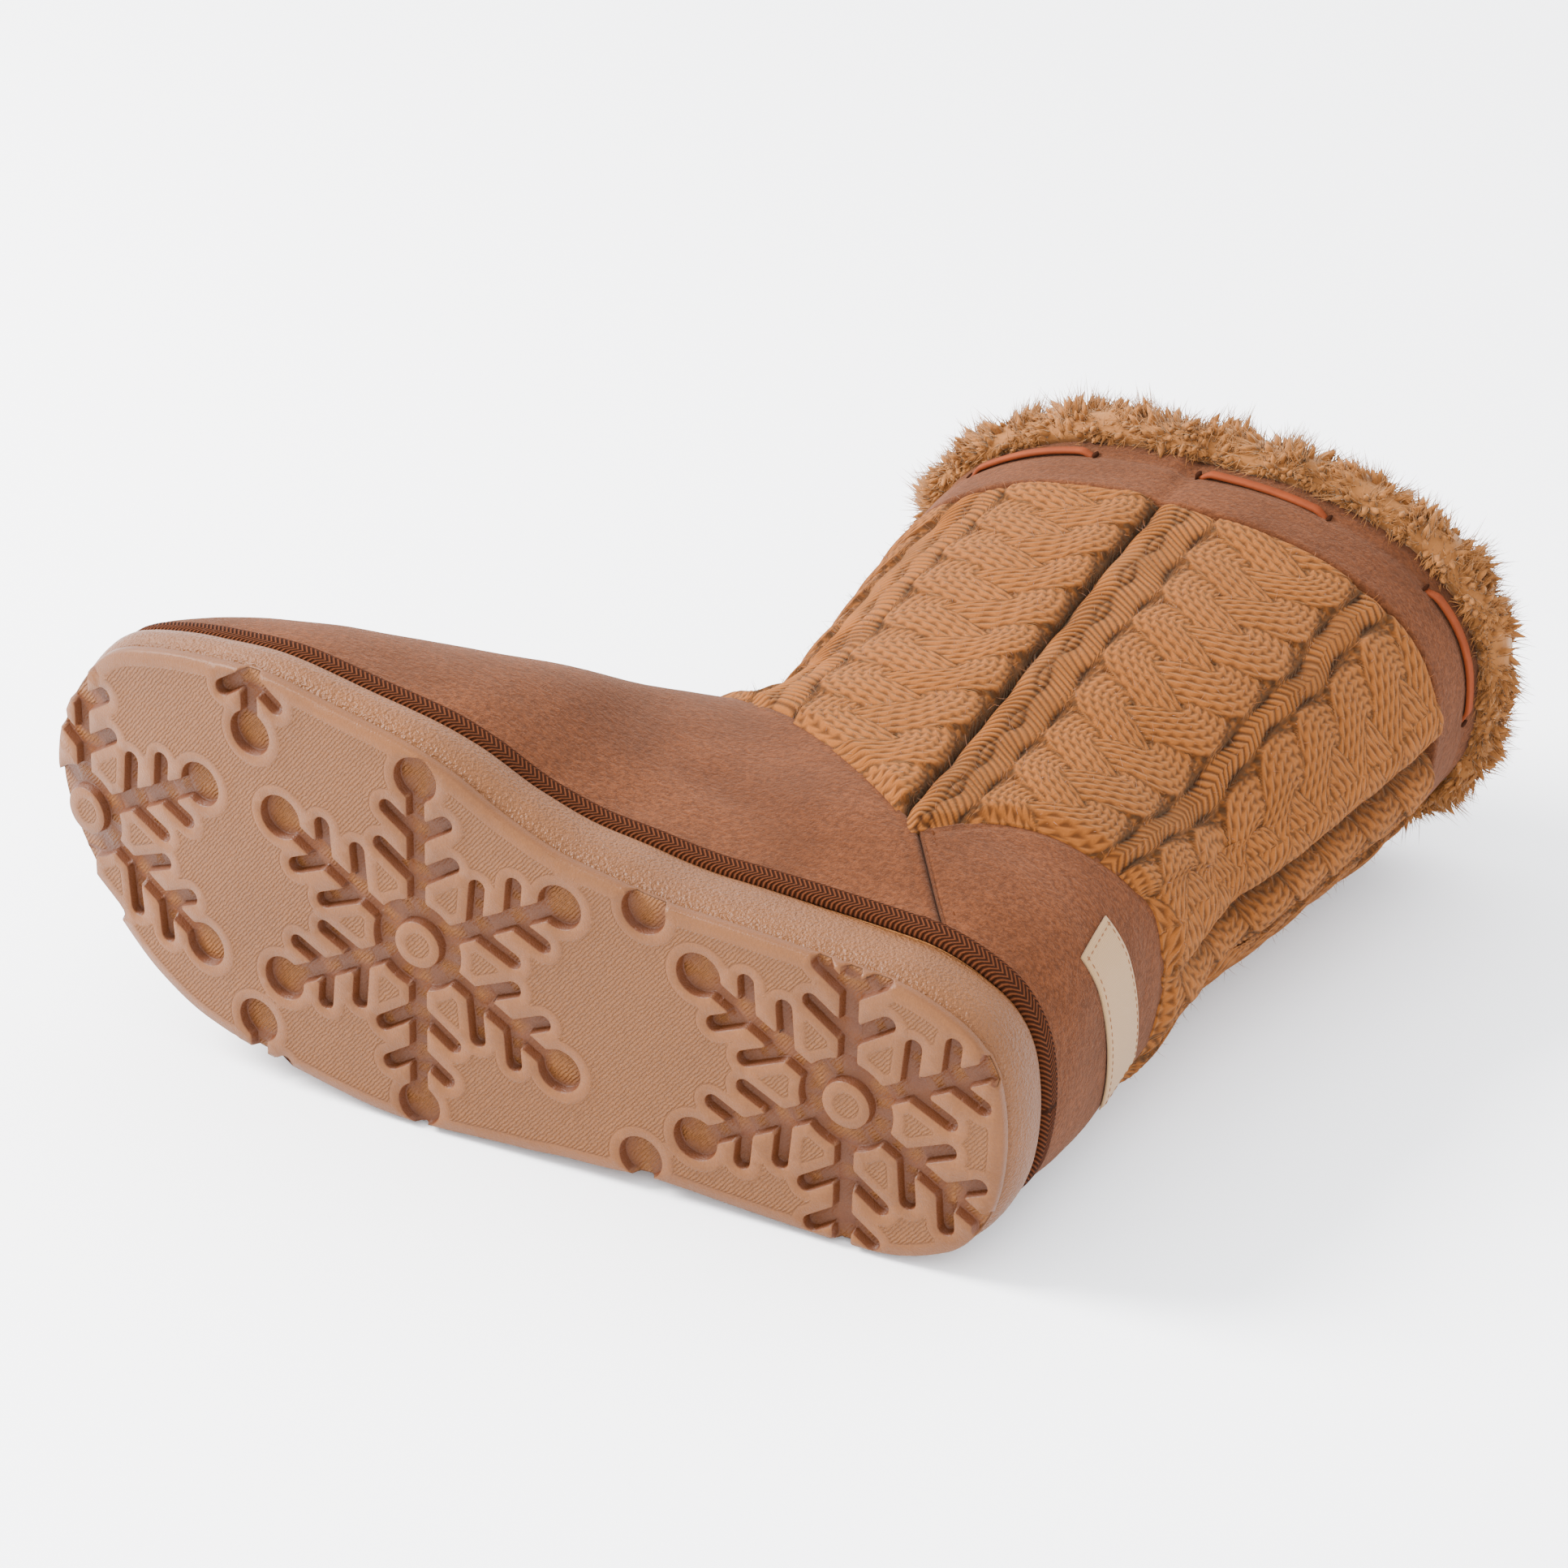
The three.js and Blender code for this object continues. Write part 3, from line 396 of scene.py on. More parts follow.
def shell_piece(name, turns, heights, outer, inner, material, uv, closed=False, **words):
    """A cloth panel over grids of turns and heights, with an outside, an inside and edges."""
    rows, columns = turns.shape
    kept = np.append(np.arange(0, rows - 1, words.pop("inside_step", 1)), rows - 1)
    outside = above_floor(offset(turns, heights, outer).reshape(-1, 3))
    inside = offset(turns[kept], heights[kept], inner).reshape(-1, 3)
    count = rows * columns
    faces = [grid_faces(rows, columns, closed)[:, ::-1],
             grid_faces(len(kept), columns, closed, count)]
    bottom = np.arange(columns)
    ends = np.roll(bottom, -1) if closed else bottom[1:]
    starts = bottom if closed else bottom[:-1]
    faces.append(np.stack([starts, ends, ends + count, starts + count], -1))
    top, far = (rows - 1) * columns, count + (len(kept) - 1) * columns
    faces.append(np.stack([starts + far, ends + far, ends + top, starts + top], -1))
    if not closed:
        for side, turned in ((0, True), (columns - 1, False)):
            for k, (low, high) in enumerate(zip(kept[:-1], kept[1:])):
                line = [row * columns + side for row in range(low, high + 1)]
                line += [count + (k + 1) * columns + side, count + k * columns + side]
                faces.append(np.array([line[::-1] if turned else line]))
    picked = (kept[:, None] * columns + np.arange(columns)).ravel()
    uv = np.asarray(uv, float).reshape(-1, 2)
    marks = {key: np.concatenate([np.ravel(value), np.ravel(value)[picked]])
             for key, value in words.pop("marks", {}).items()}
    points = np.concatenate([outside, inside])
    make_piece(name, points, faces, material, uv=np.concatenate([uv, uv[picked]]),
               marks=marks, **words)


# Shader nodes

FULL_TURN = 6.2832


def socket(group, name, kind, direction, default=None):
    made = group.interface.new_socket(name=name, in_out=direction, socket_type="NodeSocket" + kind)
    if default is not None:
        made.default_value = default
    return made


class Nodes:
    """Short words for adding and joining the nodes of one tree."""

    def __init__(self, tree):
        self.tree = tree

    def add(self, kind, settings=None, **inputs):
        node = self.tree.nodes.new(kind)
        for key, value in (settings or {}).items():
            setattr(node, key, value)
        for key, value in inputs.items():
            self.put(node, key.replace("_", " "), value)
        return node

    def put(self, node, key, value):
        target = node.inputs[int(key[1:])] if key[0] == "i" and key[1:].isdigit() else node.inputs[key]
        if isinstance(value, bpy.types.NodeSocket):
            self.tree.links.new(value, target)
        else:
            target.default_value = value

    def math(self, operation, a, b=0.0, clamp=False):
        node = self.add("ShaderNodeMath", {"operation": operation, "use_clamp": clamp}, i0=a, i1=b)
        return node.outputs[0]

    def times(self, a, b):
        return self.math("MULTIPLY", a, b)

    def plus(self, a, b, clamp=False):
        return self.math("ADD", a, b, clamp)

    def mix(self, share, a, b):
        node = self.add("ShaderNodeMix", {"data_type": "RGBA"}, i0=share)
        self.put(node, "i6", a)
        self.put(node, "i7", b)
        return node.outputs[2]

    def ramp(self, value, low, high):
        node = self.add("ShaderNodeMapRange", {"clamp": True}, Value=value, From_Min=low, From_Max=high)
        return node.outputs[0]

    def noise(self, vector, scale, detail=2.0, rough=0.5):
        node = self.add("ShaderNodeTexNoise", {}, Vector=vector, Scale=scale, Detail=detail,
                        Roughness=rough)
        return node.outputs["Fac"]

    def stretched(self, vector, scale=(1, 1, 1), angle=0.0):
        node = self.add("ShaderNodeMapping", {}, Vector=vector, Scale=scale, Rotation=(0, 0, angle))
        return node.outputs[0]

    def attribute(self, name):
        return self.add("ShaderNodeAttribute", {"attribute_name": name}).outputs["Fac"]

    def uv(self):
        return self.add("ShaderNodeUVMap", {"uv_map": "cloth"}).outputs[0]

    def place(self):
        return self.add("ShaderNodeTexCoord").outputs["Object"]


def new_group(name, inputs, outputs):
    group = bpy.data.node_groups.new(name, "ShaderNodeTree")
    for label, kind, default in inputs:
        socket(group, label, kind, "INPUT", default)
    for label, kind in outputs:
        socket(group, label, kind, "OUTPUT")
    nodes = Nodes(group)
    start = group.nodes.new("NodeGroupInput")
    end = group.nodes.new("NodeGroupOutput")
    return group, nodes, start, end


def mottle_group():
    """Blotches of a dye: a broad and a fine noise move the colour between two others."""
    group, nodes, start, end = new_group("Dye mottle", [
        ("Vector", "Vector", None), ("Broad", "Float", 25.0),
        ("Fine", "Float", 300.0), ("Low", "Color", (0.2, 0.1, 0.05, 1)),
        ("High", "Color", (0.4, 0.2, 0.1, 1)), ("Contrast", "Float", 1.0),
    ], [("Colour", "Color"), ("Share", "Float")])
    broad = nodes.noise(start.outputs["Vector"], start.outputs["Broad"], 3.0)
    fine = nodes.noise(start.outputs["Vector"], start.outputs["Fine"], 2.0)
    both = nodes.plus(nodes.times(broad, 0.65), nodes.times(fine, 0.35))
    spread = nodes.times(nodes.math("SUBTRACT", both, 0.5), start.outputs["Contrast"])
    share = nodes.plus(nodes.times(spread, 3.0), 0.5, clamp=True)
    colour = nodes.mix(share, start.outputs["Low"], start.outputs["High"])
    nodes.put(end, "Colour", colour)
    nodes.put(end, "Share", share)
    return group


def twill_group():
    """Raised diagonal lines, a little uneven, on a surface measured in millimetres."""
    group, nodes, start, end = new_group("Twill lines", [
        ("Vector", "Vector", None), ("Lines per millimetre", "Float", 1.0),
        ("Waver", "Float", 1.0),
    ], [("Height", "Float")])
    turned = nodes.stretched(start.outputs["Vector"], angle=0.9)
    scale = nodes.times(start.outputs["Lines per millimetre"], 0.314)
    wave = nodes.add("ShaderNodeTexWave", {"wave_type": "BANDS", "bands_direction": "X"},
                     Vector=turned, Scale=scale, Distortion=start.outputs["Waver"],
                     Detail=1.0, Detail_Scale=1.5)
    nodes.put(end, "Height", wave.outputs["Fac"])
    return group


def herringbone_group():
    """Slanting threads that turn back at each line of the tape."""
    group, nodes, start, end = new_group("Herringbone threads", [
        ("Vector", "Vector", None), ("Thread", "Float", 1.25),
        ("Rib", "Float", 2.4),
    ], [("Height", "Float"), ("Rib line", "Float")])
    split = nodes.add("ShaderNodeSeparateXYZ", {}, Vector=start.outputs["Vector"])
    fold = nodes.math("PINGPONG", split.outputs[1], start.outputs["Rib"])
    slant = nodes.plus(split.outputs[0], nodes.times(fold, 0.9))
    turns = nodes.math("DIVIDE", slant, start.outputs["Thread"])
    wave = nodes.math("SINE", nodes.times(turns, FULL_TURN))
    nodes.put(end, "Height", nodes.plus(nodes.times(wave, 0.5), 0.5))
    nodes.put(end, "Rib line", nodes.math("DIVIDE", fold, start.outputs["Rib"]))
    return group


GROUPS = {}


def shared_group(name):
    makers = {"mottle": mottle_group, "twill": twill_group, "herringbone": herringbone_group}
    if name not in GROUPS:
        GROUPS[name] = makers[name]()
    return GROUPS[name]


def new_material(name, roughness, sheen=0.0, specular=0.3):
    material = bpy.data.materials.new(name)
    material.use_nodes = True
    nodes = Nodes(material.node_tree)
    shader = material.node_tree.nodes["Principled BSDF"]
    shader.inputs["Roughness"].default_value = roughness
    shader.inputs["Specular IOR Level"].default_value = specular
    shader.inputs["Sheen Weight"].default_value = sheen
    shader.inputs["Sheen Roughness"].default_value = 0.45
    return material, nodes, shader


def use_group(nodes, name, **inputs):
    node = nodes.add("ShaderNodeGroup", {"node_tree": shared_group(name)})
    for key, value in inputs.items():
        nodes.put(node, key.replace("_", " "), value)
    return node


def add_bump(nodes, shader, height, strength, distance):
    bump = nodes.add("ShaderNodeBump", {}, Height=height, Strength=strength, Distance=distance / 1000)
    nodes.put(shader, "Normal", bump.outputs[0])


def paint(nodes, shader, colour):
    nodes.put(shader, "Base Color", colour)


def shade(colour, factor):
    return tuple(channel * factor for channel in colour[:3]) + (1.0,)


def suede_material(colours):
    material, nodes, shader = new_material("Napped suede", 0.95, sheen=0.09, specular=0.06)
    shader.inputs["Sheen Tint"].default_value = (0.9, 0.55, 0.4, 1)
    place = nodes.place()
    mottle = use_group(nodes, "mottle", Vector=place, Broad=34.0, Fine=800.0,
                       Low=shade(colours.suede, 0.7), High=shade(colours.suede, 1.32), Contrast=1.2)
    edge = nodes.ramp(nodes.attribute("edge"), 0.0, 3.0)
    dark = nodes.mix(edge, shade(colours.suede, 0.45), mottle.outputs["Colour"])
    crease = nodes.ramp(nodes.attribute("crease"), 0.0, 1.0)
    nap = nodes.noise(place, 760.0, 3.0, 0.8)
    speck = nodes.times(nodes.ramp(nap, 0.6, 0.38), 0.72)
    napped = nodes.mix(speck, dark, shade(colours.suede, 0.45))
    # Painted shade in the vamp's hollows.
    paint(nodes, shader, nodes.mix(nodes.times(crease, 0.5), napped, shade(colours.suede, 0.4)))
    streak = nodes.noise(place, 260.0, 2.0)
    height = nodes.plus(nodes.times(nap, 1.4), nodes.times(streak, 0.6))
    add_bump(nodes, shader, height, 0.9, 0.5)
    return material


def rubber_material(colours):
    material, nodes, shader = new_material("Moulded sole", 0.6, specular=0.18)
    uv = nodes.uv()
    place = nodes.place()
    field = nodes.attribute("field")
    floor = nodes.attribute("floor")
    wall = nodes.attribute("wall")
    steep = nodes.attribute("steep")
    mottle = use_group(nodes, "mottle", Vector=place, Broad=30.0, Fine=1200.0,
                       Low=shade(colours.sole, 0.82), High=shade(colours.sole, 1.18), Contrast=1.0)
    pale = nodes.mix(nodes.times(field, 0.5), mottle.outputs["Colour"], shade(colours.field, 1.0))
    # Painted light: the recess floors are lifted towards a lighter field colour, against the shade of
    # their recesses.
    deep = nodes.mix(nodes.times(floor, 0.8), pale, shade(colours.field, 1.12))
    # Painted shade: the recess walls and the tread band's edge are darkened towards the recess colour, by
    # the steep mark.
    recess_shaded = nodes.mix(nodes.times(steep, 0.9), deep, shade(colours.recess, 1.0))
    twill = use_group(nodes, "twill", Vector=uv, Waver=2.6)
    nodes.put(twill, "Lines per millimetre", 1.15)
    grain = nodes.noise(uv, 1.6, 2.0, 0.6)
    mask = nodes.math("MAXIMUM", field, floor)
    woven = nodes.plus(nodes.times(twill.outputs["Height"], 0.7), grain)
    lines = nodes.times(woven, mask)
    groove = nodes.times(nodes.math("SUBTRACT", 1.0, twill.outputs["Height"]), mask)
    # Painted shade: the grooves between the twill lines are darkened, in patches.
    speck = nodes.ramp(nodes.noise(uv, 1.5, 2.0, 0.7), 0.38, 0.62)
    groove_shade = nodes.times(nodes.times(speck, groove), 0.42)
    paint(nodes, shader, nodes.mix(groove_shade, recess_shaded, shade(colours.sole, 0.45)))
    pebble = nodes.times(nodes.noise(place, 1300.0, 1.0), nodes.times(wall, 1.5))
    fine = nodes.times(nodes.noise(place, 2400.0, 2.0), 0.3)
    add_bump(nodes, shader, nodes.plus(nodes.plus(lines, pebble), fine), 0.95, 0.5)
    rough = nodes.ramp(mask, 0.0, 1.0)
    nodes.put(shader, "Roughness", nodes.plus(nodes.times(rough, 0.14), 0.46))
    return material


def tape_material(colours):
    material, nodes, shader = new_material("Herringbone tape", 0.95, specular=0.04)
    uv = nodes.uv()
    bone = use_group(nodes, "herringbone", Vector=uv)
    # Painted light and shade: the threads are lighter on their rise and darker between them.
    paint(nodes, shader, nodes.mix(nodes.ramp(bone.outputs["Height"], 0.1, 0.8),
                                   shade(colours.tape, 0.28), shade(colours.tape, 1.4)))
    add_bump(nodes, shader, bone.outputs["Height"], 1.0, 0.7)
    return material


def knit_material(colours):
    """Yarn whose stitches follow the strands, by the mesh's own place across each strand."""
    material, nodes, shader = new_material("Cable knit yarn", 0.95, sheen=0.08, specular=0.05)
    shader.inputs["Sheen Tint"].default_value = (1.0, 0.72, 0.42, 1)
    uv = nodes.uv()
    along = nodes.add("ShaderNodeSeparateXYZ", {}, Vector=uv).outputs[1]
    across = nodes.attribute("across")
    fold = nodes.math("PINGPONG", nodes.math("DIVIDE", across, YARN_PITCH), 0.5)
    slant = nodes.plus(nodes.math("DIVIDE", along, 2.7), nodes.times(fold, 0.9))
    stitch = nodes.math("SINE", nodes.times(slant, FULL_TURN))
    rung = nodes.plus(nodes.math("DIVIDE", along, RUNG_PITCH),
                      nodes.times(across, RUNG_SLANT))
    step = nodes.math("COSINE", nodes.times(rung, FULL_TURN))
    ribs = nodes.attribute("ribs")
    cable = nodes.plus(nodes.times(stitch, 0.3),
                       nodes.math("SUBTRACT", 0.85, nodes.times(fold, 1.5)))
    ladder = nodes.plus(nodes.times(step, 0.5), 0.5)
    pattern = nodes.add("ShaderNodeMix", {"data_type": "FLOAT"}, i0=ribs, i2=cable, i3=ladder).outputs[0]
    mottle = use_group(nodes, "mottle", Vector=uv, Broad=0.05, Fine=1.1,
                       Low=shade(colours.knit, 0.86), High=shade(colours.knit, 1.12), Contrast=0.8)
    # Painted light and shade: the depth mark holds the knit's painted lightness, darker in the gaps, at
    # the seams and in the back fold.
    lit = nodes.times(nodes.ramp(nodes.attribute("depth"), 0.0, 0.85),
                     nodes.plus(nodes.times(nodes.ramp(pattern, 0.0, 0.65), 0.7), 0.3))
    paint(nodes, shader, nodes.mix(lit, shade(colours.knit_gap, 1.0), mottle.outputs["Colour"]))
    yarn = nodes.noise(nodes.stretched(uv, (1.0, 0.45, 1)), 1.6, 3.0, 0.7)
    fibre = nodes.noise(uv, 5.5, 2.0, 0.7)
    height = nodes.plus(nodes.plus(yarn, nodes.times(fibre, 0.5)), pattern)
    add_bump(nodes, shader, height, 0.8, 0.6)
    return material


def fuzz_material(colours):
    material, nodes, shader = new_material("Yarn fibres", 0.9, sheen=0.15, specular=0.06)
    paint(nodes, shader, nodes.mix(nodes.noise(nodes.place(), 200.0), shade(colours.knit, 0.9),
                                   shade(colours.knit, 1.25)))
    return material


def fur_material(colours):
    material, nodes, shader = new_material("Collar pile", 0.75, sheen=0.2, specular=0.15)
    shader.inputs["Sheen Tint"].default_value = (1.0, 0.85, 0.6, 1)
    tip = nodes.attribute("tip")
    place = nodes.place()
    broad = nodes.noise(place, 60.0, 2.0)
    base = nodes.mix(nodes.ramp(broad, 0.35, 0.65), shade(colours.fur, 0.88), shade(colours.fur, 1.12))
    # Painted shade: the hairs darken towards their roots, by the tip mark.
    paint(nodes, shader, nodes.mix(tip, shade(colours.fur, 0.72), base))
    add_bump(nodes, shader, nodes.noise(place, 900.0, 2.0), 0.5, 0.4)
    return material


def dyed_material(name, colour, low, high, contrast, broad, fine, **finish):
    """A finish whose dye wanders between two shades of a colour."""
    material, nodes, shader = new_material(name, **finish)
    place = nodes.place()
    mottle = use_group(nodes, "mottle", Vector=place, Broad=broad, Fine=fine,
                       Low=shade(colour, low), High=shade(colour, high), Contrast=contrast)
    paint(nodes, shader, mottle.outputs["Colour"])
    return material, nodes, shader, place


def lining_material(colours):
    material, nodes, shader, place = dyed_material(
        "Brushed lining", colours.fur, 0.55, 0.85, 1.3, 60.0, 500.0,
        roughness=0.95, sheen=0.4, specular=0.1)
    add_bump(nodes, shader, nodes.noise(place, 420.0, 3.0, 0.7), 0.9, 1.0)
    return material


def thong_material(colours):
    material, nodes, shader, place = dyed_material(
        "Flat thong", colours.thong, 0.8, 1.15, 0.8, 120.0, 600.0, roughness=0.75, specular=0.12)
    add_bump(nodes, shader, nodes.noise(place, 900.0, 2.0), 0.25, 0.15)
    return material


def label_material(colours):
    material, nodes, shader = new_material("Woven label", 0.8, sheen=0.1, specular=0.2)
    uv = nodes.uv()
    checks = nodes.add("ShaderNodeTexWave", {"bands_direction": "X"}, Vector=uv, Scale=0.7)
    across = nodes.add("ShaderNodeTexWave", {"bands_direction": "Y"}, Vector=uv, Scale=0.7)
    weave = nodes.times(checks.outputs["Fac"], across.outputs["Fac"])
    paint(nodes, shader, nodes.mix(weave, shade(colours.label, 0.82), shade(colours.label, 1.0)))
    add_bump(nodes, shader, weave, 0.5, 0.2)
    return material


def thread_material(name, colour):
    material, nodes, shader = new_material(name, 0.95, specular=0.03)
    place = nodes.place()
    paint(nodes, shader, nodes.mix(nodes.noise(place, 1500.0), shade(colour, 0.6), shade(colour, 1.1)))
    add_bump(nodes, shader, nodes.noise(place, 2500.0), 0.3, 0.1)
    return material


def floor_material(stage):
    material, nodes, shader = new_material("Pale paper floor", 0.9, specular=0.1)
    paint(nodes, shader, nodes.mix(nodes.noise(nodes.place(), 3.0), shade(stage.floor, 0.985),
                                   shade(stage.floor, 1.0)))
    return material


# Sole

def segment_distance(x, y, ax, ay, bx, by):
    dx, dy = bx - ax, by - ay
    t = np.clip(((x - ax) * dx + (y - ay) * dy) / (dx * dx + dy * dy), 0, 1)
    return np.hypot(x - ax - t * dx, y - ay - t * dy)


def arm_distance(x, y):
    """Distance outside one arm of a snowflake along +x: trunk, branches and knob."""
    start = HUB_RADIUS + HUB_GROOVE / 2
    trunk = segment_distance(x, y, start, 0, FLAKE_REACH, 0) - TRUNK_WIDTH / 2
    knob = np.hypot(x - FLAKE_REACH, y) - KNOB_RADIUS
    result = np.minimum(trunk, knob)
    for root, tip, aside in BRANCHES:
        branch = segment_distance(x, np.abs(y), root * FLAKE_REACH, 0, tip * FLAKE_REACH - 1,
                                  aside * FLAKE_REACH - 1) - BRANCH_WIDTH / 2
        result = np.minimum(result, branch)
    return result


def recess_distance(x, y):
    """Distance outside the recesses of all snowflakes, negative inside them."""
    result = np.full(np.shape(x), 1e3)
    for along, inward, hub, arms in FLAKES:
        cx, cy = -inward * BALL_WIDTH, along * SOLE_LENGTH
        for arm in arms:
            c, s = math.cos(arm * math.pi / 3), math.sin(arm * math.pi / 3)
            result = np.minimum(result, arm_distance(c * (x - cx) + s * (y - cy),
                                                     -s * (x - cx) + c * (y - cy)))
        if hub:
            away = np.hypot(x - cx, y - cy)
            ring = np.abs(away - HUB_RADIUS - HUB_GROOVE / 2) - HUB_GROOVE / 2
            result = np.where(away < HUB_RADIUS + HUB_GROOVE / 2, ring, np.minimum(result, ring))
    return result


def outline_loop(count, distance=0.0):
    turns = np.arange(count) / count

    def at(turn):
        around = turn % 1
        y = (1 - np.cos(around * 2 * np.pi)) / 2 * SOLE_LENGTH
        return np.stack([centre_line(y) + np.where(around < 0.5, -1, 1) * half_width(y), y], -1)

    along = unit(at(turns + 0.002) - at(turns - 0.002))
    return at(turns) + np.stack([-along[:, 1], along[:, 0]], -1) * distance


def even_loop(points, count):
    """A closed line with its points spread evenly."""
    closed = np.concatenate([points, points[:1]])
    arcs = lengths_along(closed)
    wanted = np.arange(count) / count * arcs[-1]
    return np.stack([np.interp(wanted, arcs, closed[:, k]) for k in (0, 1)], -1)


def rim_distance(x, y, loop):
    """Distance of places from the points of a closed line."""
    result = np.full(np.shape(x), 1e3)
    for a in loop:
        result = np.minimum(result, np.hypot(x - a[0], y - a[1]))
    return result


def contour(values, xs, ys, level):
    """Points and edges of a contour line, by marching over the squares of a grid."""
    above = values > level
    points, edges = [], []
    keys = {}

    def crossing(i0, j0, i1, j1):
        key = (i0, j0, i1, j1)
        if key not in keys:
            a, b = values[i0, j0], values[i1, j1]
            t = min(0.98, max(0.02, (level - a) / (b - a)))
            keys[key] = len(points)
            points.append((xs[i0] + (xs[i1] - xs[i0]) * t, ys[j0] + (ys[j1] - ys[j0]) * t))
        return keys[key]

    cell = above[:-1, :-1].astype(int) + above[1:, :-1] + above[1:, 1:] + above[:-1, 1:]
    for i, j in np.argwhere((cell > 0) & (cell < 4)):
        hits = []
        corners = [(i, j), (i + 1, j), (i + 1, j + 1), (i, j + 1)]
        for k in range(4):
            a, b = corners[k], corners[(k + 1) % 4]
            if above[a] != above[b]:
                low, high = min(a, b), max(a, b)
                hits.append(crossing(low[0], low[1], high[0], high[1]))
        if len(hits) == 2:
            edges.append(tuple(hits))
        elif len(hits) == 4:
            edges += [(hits[0], hits[1]), (hits[2], hits[3])]
    return points, edges


# The grained fields keep clear of the recesses and of the rim by these distances.
FIELD_CLEAR = 3.0
FIELD_RIM = 3.4
FIELD_STEP = 0.12
RECESS_LEVELS = (0.3, 0.1, -0.15, -0.4)
FIELD_LEVELS = (-0.25, 0.25)
RIM_CLEAR = 0.45
OUTLINE_SAMPLES = 1200
TREAD_REACH = 62
TREAD_MARGIN = 4
FILL_STEP = 5.0
# Rows of the sole's edge: millimetres outwards, and the share of the way up their part
BAND_ROWS = [(0.3, 0.12), (0.45, 0.3), (0.45, 0.72), (0.2, 0.86), (-0.7, 0.93)]
WALL_ROWS = [
    (-0.75, 0.01), (0.2, 0.06), (1.05, 0.2), (1.5, 0.38), (1.6, 0.55), (1.35, 0.75), (0.8, 0.9),
    (0.1, 0.98), (-0.8, 1.0),
]


def inside_outline(x, y, margin=0.0, ends=0.0):
    """Whether places lie inside the tread's outline, by margins across and at its ends."""
    share = np.clip(y, 0, SOLE_LENGTH)
    across = np.abs(x - centre_line(share)) < half_width(share) - margin
    return across & (y > ends) & (y < SOLE_LENGTH - ends)


def field_distance(recess, rim):
    return np.minimum(recess - FIELD_CLEAR, rim - FIELD_RIM)


def tread_lines(sizes):
    """Contours round the recesses and the grained fields, and the tread's outline."""
    xs = np.arange(-TREAD_REACH, TREAD_REACH, sizes.tread_step)
    ys = np.arange(-TREAD_MARGIN, SOLE_LENGTH + TREAD_MARGIN, sizes.tread_step)
    gx, gy = np.meshgrid(xs, ys, indexing="ij")
    outline = even_loop(outline_loop(OUTLINE_SAMPLES), sizes.rim_steps)
    coarse = outline[::2]
    recess = recess_distance(gx, gy)
    rim = rim_distance(gx, gy, coarse)
    field = field_distance(recess, np.where(inside_outline(gx, gy), rim, -rim))
    verts = [tuple(point) for point in outline]
    count = len(verts)
    edges = [(i, (i + 1) % count) for i in range(count)]
    levels = [(recess, level) for level in RECESS_LEVELS] + [(field, level) for level in FIELD_LEVELS]
    for values, level in levels:
        points, lines = contour(values, xs, ys, level)
        points = np.array(points)
        x, y = points[:, 0], points[:, 1]
        keep = inside_outline(x, y) & (rim_distance(x, y, coarse) > RIM_CLEAR)
        place = np.cumsum(keep) - 1 + len(verts)
        verts += [tuple(point) for point in points[keep]]
        edges += [(int(place[a]), int(place[b])) for a, b in lines if keep[a] and keep[b]]
    fill = np.array([(x, y) for x in np.arange(-60, 60, FILL_STEP)
                     for y in np.arange(2, SOLE_LENGTH, FILL_STEP)])
    clear = np.abs(recess_distance(fill[:, 0], fill[:, 1])) > 0.8
    verts += [tuple(point) for point in fill[inside_outline(fill[:, 0], fill[:, 1], 2) & clear]]
    return verts, edges, count


